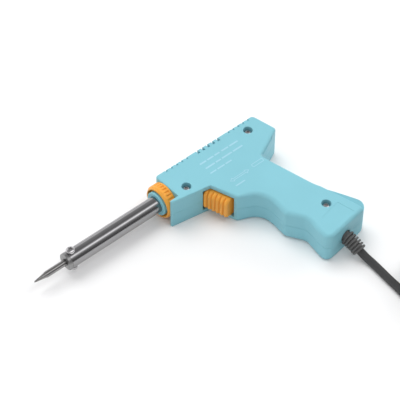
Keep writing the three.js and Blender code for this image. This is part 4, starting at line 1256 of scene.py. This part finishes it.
def build_print():
    """All printed marks as one very thin piece on the left shell."""
    arrow = [(x, y, 0.05, 0.0) for x, y in PRINTED_ARROW]
    marks = []
    for corners in (arrow, rectangle(*PRINTED_BOX, 0.9)):
        inside = printed_slab(corners, PRINT_LINE, HALF - 1.0, HALF + 1.0)
        marks.append(boolean(printed_slab(corners), "DIFFERENCE", inside))
    for y, height, bars in PRINTED_ROWS:
        for start, end in bars:
            bar = rectangle((start, y - height / 2), (end, y + height / 2), 0.3)
            marks.append(printed_slab(bar))
    whole = boolean(marks[0], "UNION", *marks[1:])
    whole.name = "printed_marks"
    place(whole, "housing", "print_ink", weigh_normals=False)


build_print()

# ---------------- plug and tie


def superellipse(half_width, half_thick, power, count):
    points = []
    for i in range(count):
        angle = 2 * math.pi * i / count
        c, s = math.cos(angle), math.sin(angle)
        x = half_width * math.copysign(abs(c) ** (2 / power), c)
        z = half_thick * math.copysign(abs(s) ** (2 / power), s)
        points.append((x, z))
    return points


def build_plug():
    """The plug's body, its two pins and their sleeves."""
    rings = []
    for distance, half_width, half_thick, power in PLUG_SECTIONS:
        section = superellipse(half_width, half_thick, power, PLUG_SIDES)
        rings.append([(PLUG_X + x, PLUG_REAR_Y + distance, PLUG_Z + z) for x, z in section])
    plug = skin("plug", rings)
    place(plug, "housing", "cord_rubber", ["plug_body"], smooth=40)
    pieces = [plug]
    front_y = PLUG_REAR_Y + PLUG_SECTIONS[-1][0]
    for spot, offset in (("left", -PIN_OFFSET), ("right", PIN_OFFSET)):
        at = axis_matrix((0.0, 1.0, 0.0), (PLUG_X + offset, front_y, PLUG_Z))
        pin = lathe(f"pin_{spot}", PIN, 40, at)
        place(pin, "housing", "plug_pin_metal", [f"plug_pin_{spot}"])
        sleeve = lathe(f"pin_sleeve_{spot}", PIN_SLEEVE, 40, at)
        place(sleeve, "housing", "black_plastic", [f"plug_pin_sleeve_{spot}"])
        pieces += [pin, sleeve]
    return pieces


def build_tie():
    """A flat strap round the coil, in the plane of one radius and z."""
    low = (COIL_RADII[2] - TIE_GAP, -HALF + 0.3)
    high = (COIL_RADII[0] + TIE_GAP, COIL_HIGH_Z + TIE_GAP)
    points, normals, _ = rounded_outline(rectangle(low, high, 3.0), 2.0)
    radial = Vector((math.cos(TIE_ANGLE), math.sin(TIE_ANGLE), 0.0))
    across = Vector((-radial.y, radial.x, 0.0))
    centre = Vector((*COIL_CENTRE, 0.0))
    rings = []
    for point, normal in zip(points, normals):
        ring = []
        for thick, wide in TIE_SECTION:
            flat = Vector(point) + Vector(normal) * thick * TIE_HALF_THICK
            spot = centre + radial * flat.x + across * wide * TIE_HALF_WIDTH
            ring.append(spot + Vector((0.0, 0.0, flat.y)))
        rings.append(ring)
    tie = skin("tie", rings, closed=True)
    return place(tie, "housing", "black_plastic", ["cord_tie"], smooth=45)


plug_pieces = build_plug()
tie = build_tie()

# ---------------- floor and light

# Brightness of the studio by direction about the barrel's axis, in degrees from straight up,
# positive towards the housing's top edge: a long strip light, a white wall and dark between.
STUDIO = (
    (-180, 0.60),
    (-92, 0.60),
    (-86, 0.36),
    (-79, 0.12),
    (-68, 0.17),
    (-48, 0.32),
    (-35, 0.88),
    (-27, 2.30),
    (-19, 1.95),
    (-10, 0.55),
    (2, 0.26),
    (18, 0.35),
    (48, 0.46),
    (64, 1.20),
    (78, 1.20),
    (90, 0.75),
    (180, 0.60),
)
END_LIGHT = 0.70  # plain brightness of the studio's two ends, along the barrel
END_FROM, END_TO = 0.66, 0.88  # how far a direction points along the barrel where it blends in
FLOOR_GREYS = ((0.90, 0.90, 0.90), (0.92, 0.92, 0.92))


def build_floor():
    mesh = bpy.data.meshes.new("floor")
    with editing(mesh) as bm:
        bmesh.ops.create_circle(bm, cap_ends=True, radius=6.0, segments=96)
    tree, shader = new_material("floor_paper")
    mottling = spread(tree, noise(tree, 3.0, 3.0), 0.0, 1.0)
    inputs = {
        "Base Color": blend(tree, mottling, *map(scaled, FLOOR_GREYS)),
        "Roughness": 0.9,
        "Specular IOR Level": 0.1,
    }
    set_inputs(tree, shader, inputs)
    mesh.materials.append(MATERIALS["floor_paper"])
    add_object("floor", mesh)


def build_world():
    world = bpy.data.worlds.new("studio")
    bpy.context.scene.world = world
    world.use_nodes = True
    tree = world.node_tree
    direction = add_node(tree, "TexCoord").outputs["Generated"]
    parts = add_node(tree, "SeparateXYZ", {"Vector": direction}).outputs
    angle = add_node(tree, "Math", {0: parts["Y"], 1: parts["Z"]}, operation="ARCTAN2")
    turn = spread(tree, angle.outputs["Value"], 0.0, 1.0, -math.pi, math.pi)
    ramp = add_node(tree, "ValToRGB", {"Fac": turn})
    stops = ramp.color_ramp.elements
    stops.remove(stops[1])
    for i, (degrees, level) in enumerate(STUDIO):
        stop = stops[0] if i == 0 else stops.new((degrees + 180) / 360)
        stop.position = (degrees + 180) / 360
        stop.color = (level, level, level * 1.01, 1.0)
    size = add_node(tree, "Math", {0: parts["X"]}, operation="ABSOLUTE").outputs["Value"]
    factor = spread(tree, size, 0.0, 1.0, END_FROM, END_TO)
    colour = blend(tree, factor, ramp.outputs["Color"], (END_LIGHT, END_LIGHT, END_LIGHT, 1.0))
    set_inputs(tree, tree.nodes["Background"], {"Color": colour, "Strength": 1.0})


def add_soft_sun(name, direction, strength, spread_degrees):
    """A broad light from far away, which metals don't mirror."""
    data = bpy.data.lights.new(name, "SUN")
    data.energy = strength
    data.angle = math.radians(spread_degrees)
    light = add_object(name, data)
    light.rotation_euler = (-Vector(direction)).to_track_quat("-Z", "Y").to_euler()
    light.visible_glossy = False


build_floor()
build_world()
add_soft_sun("overhead", (0.00, 0.42, 0.91), 1.45, 46.0)
add_soft_sun("side", (0.92, -0.14, 0.36), 0.72, 30.0)
bpy.context.scene.view_settings.view_transform = "Standard"
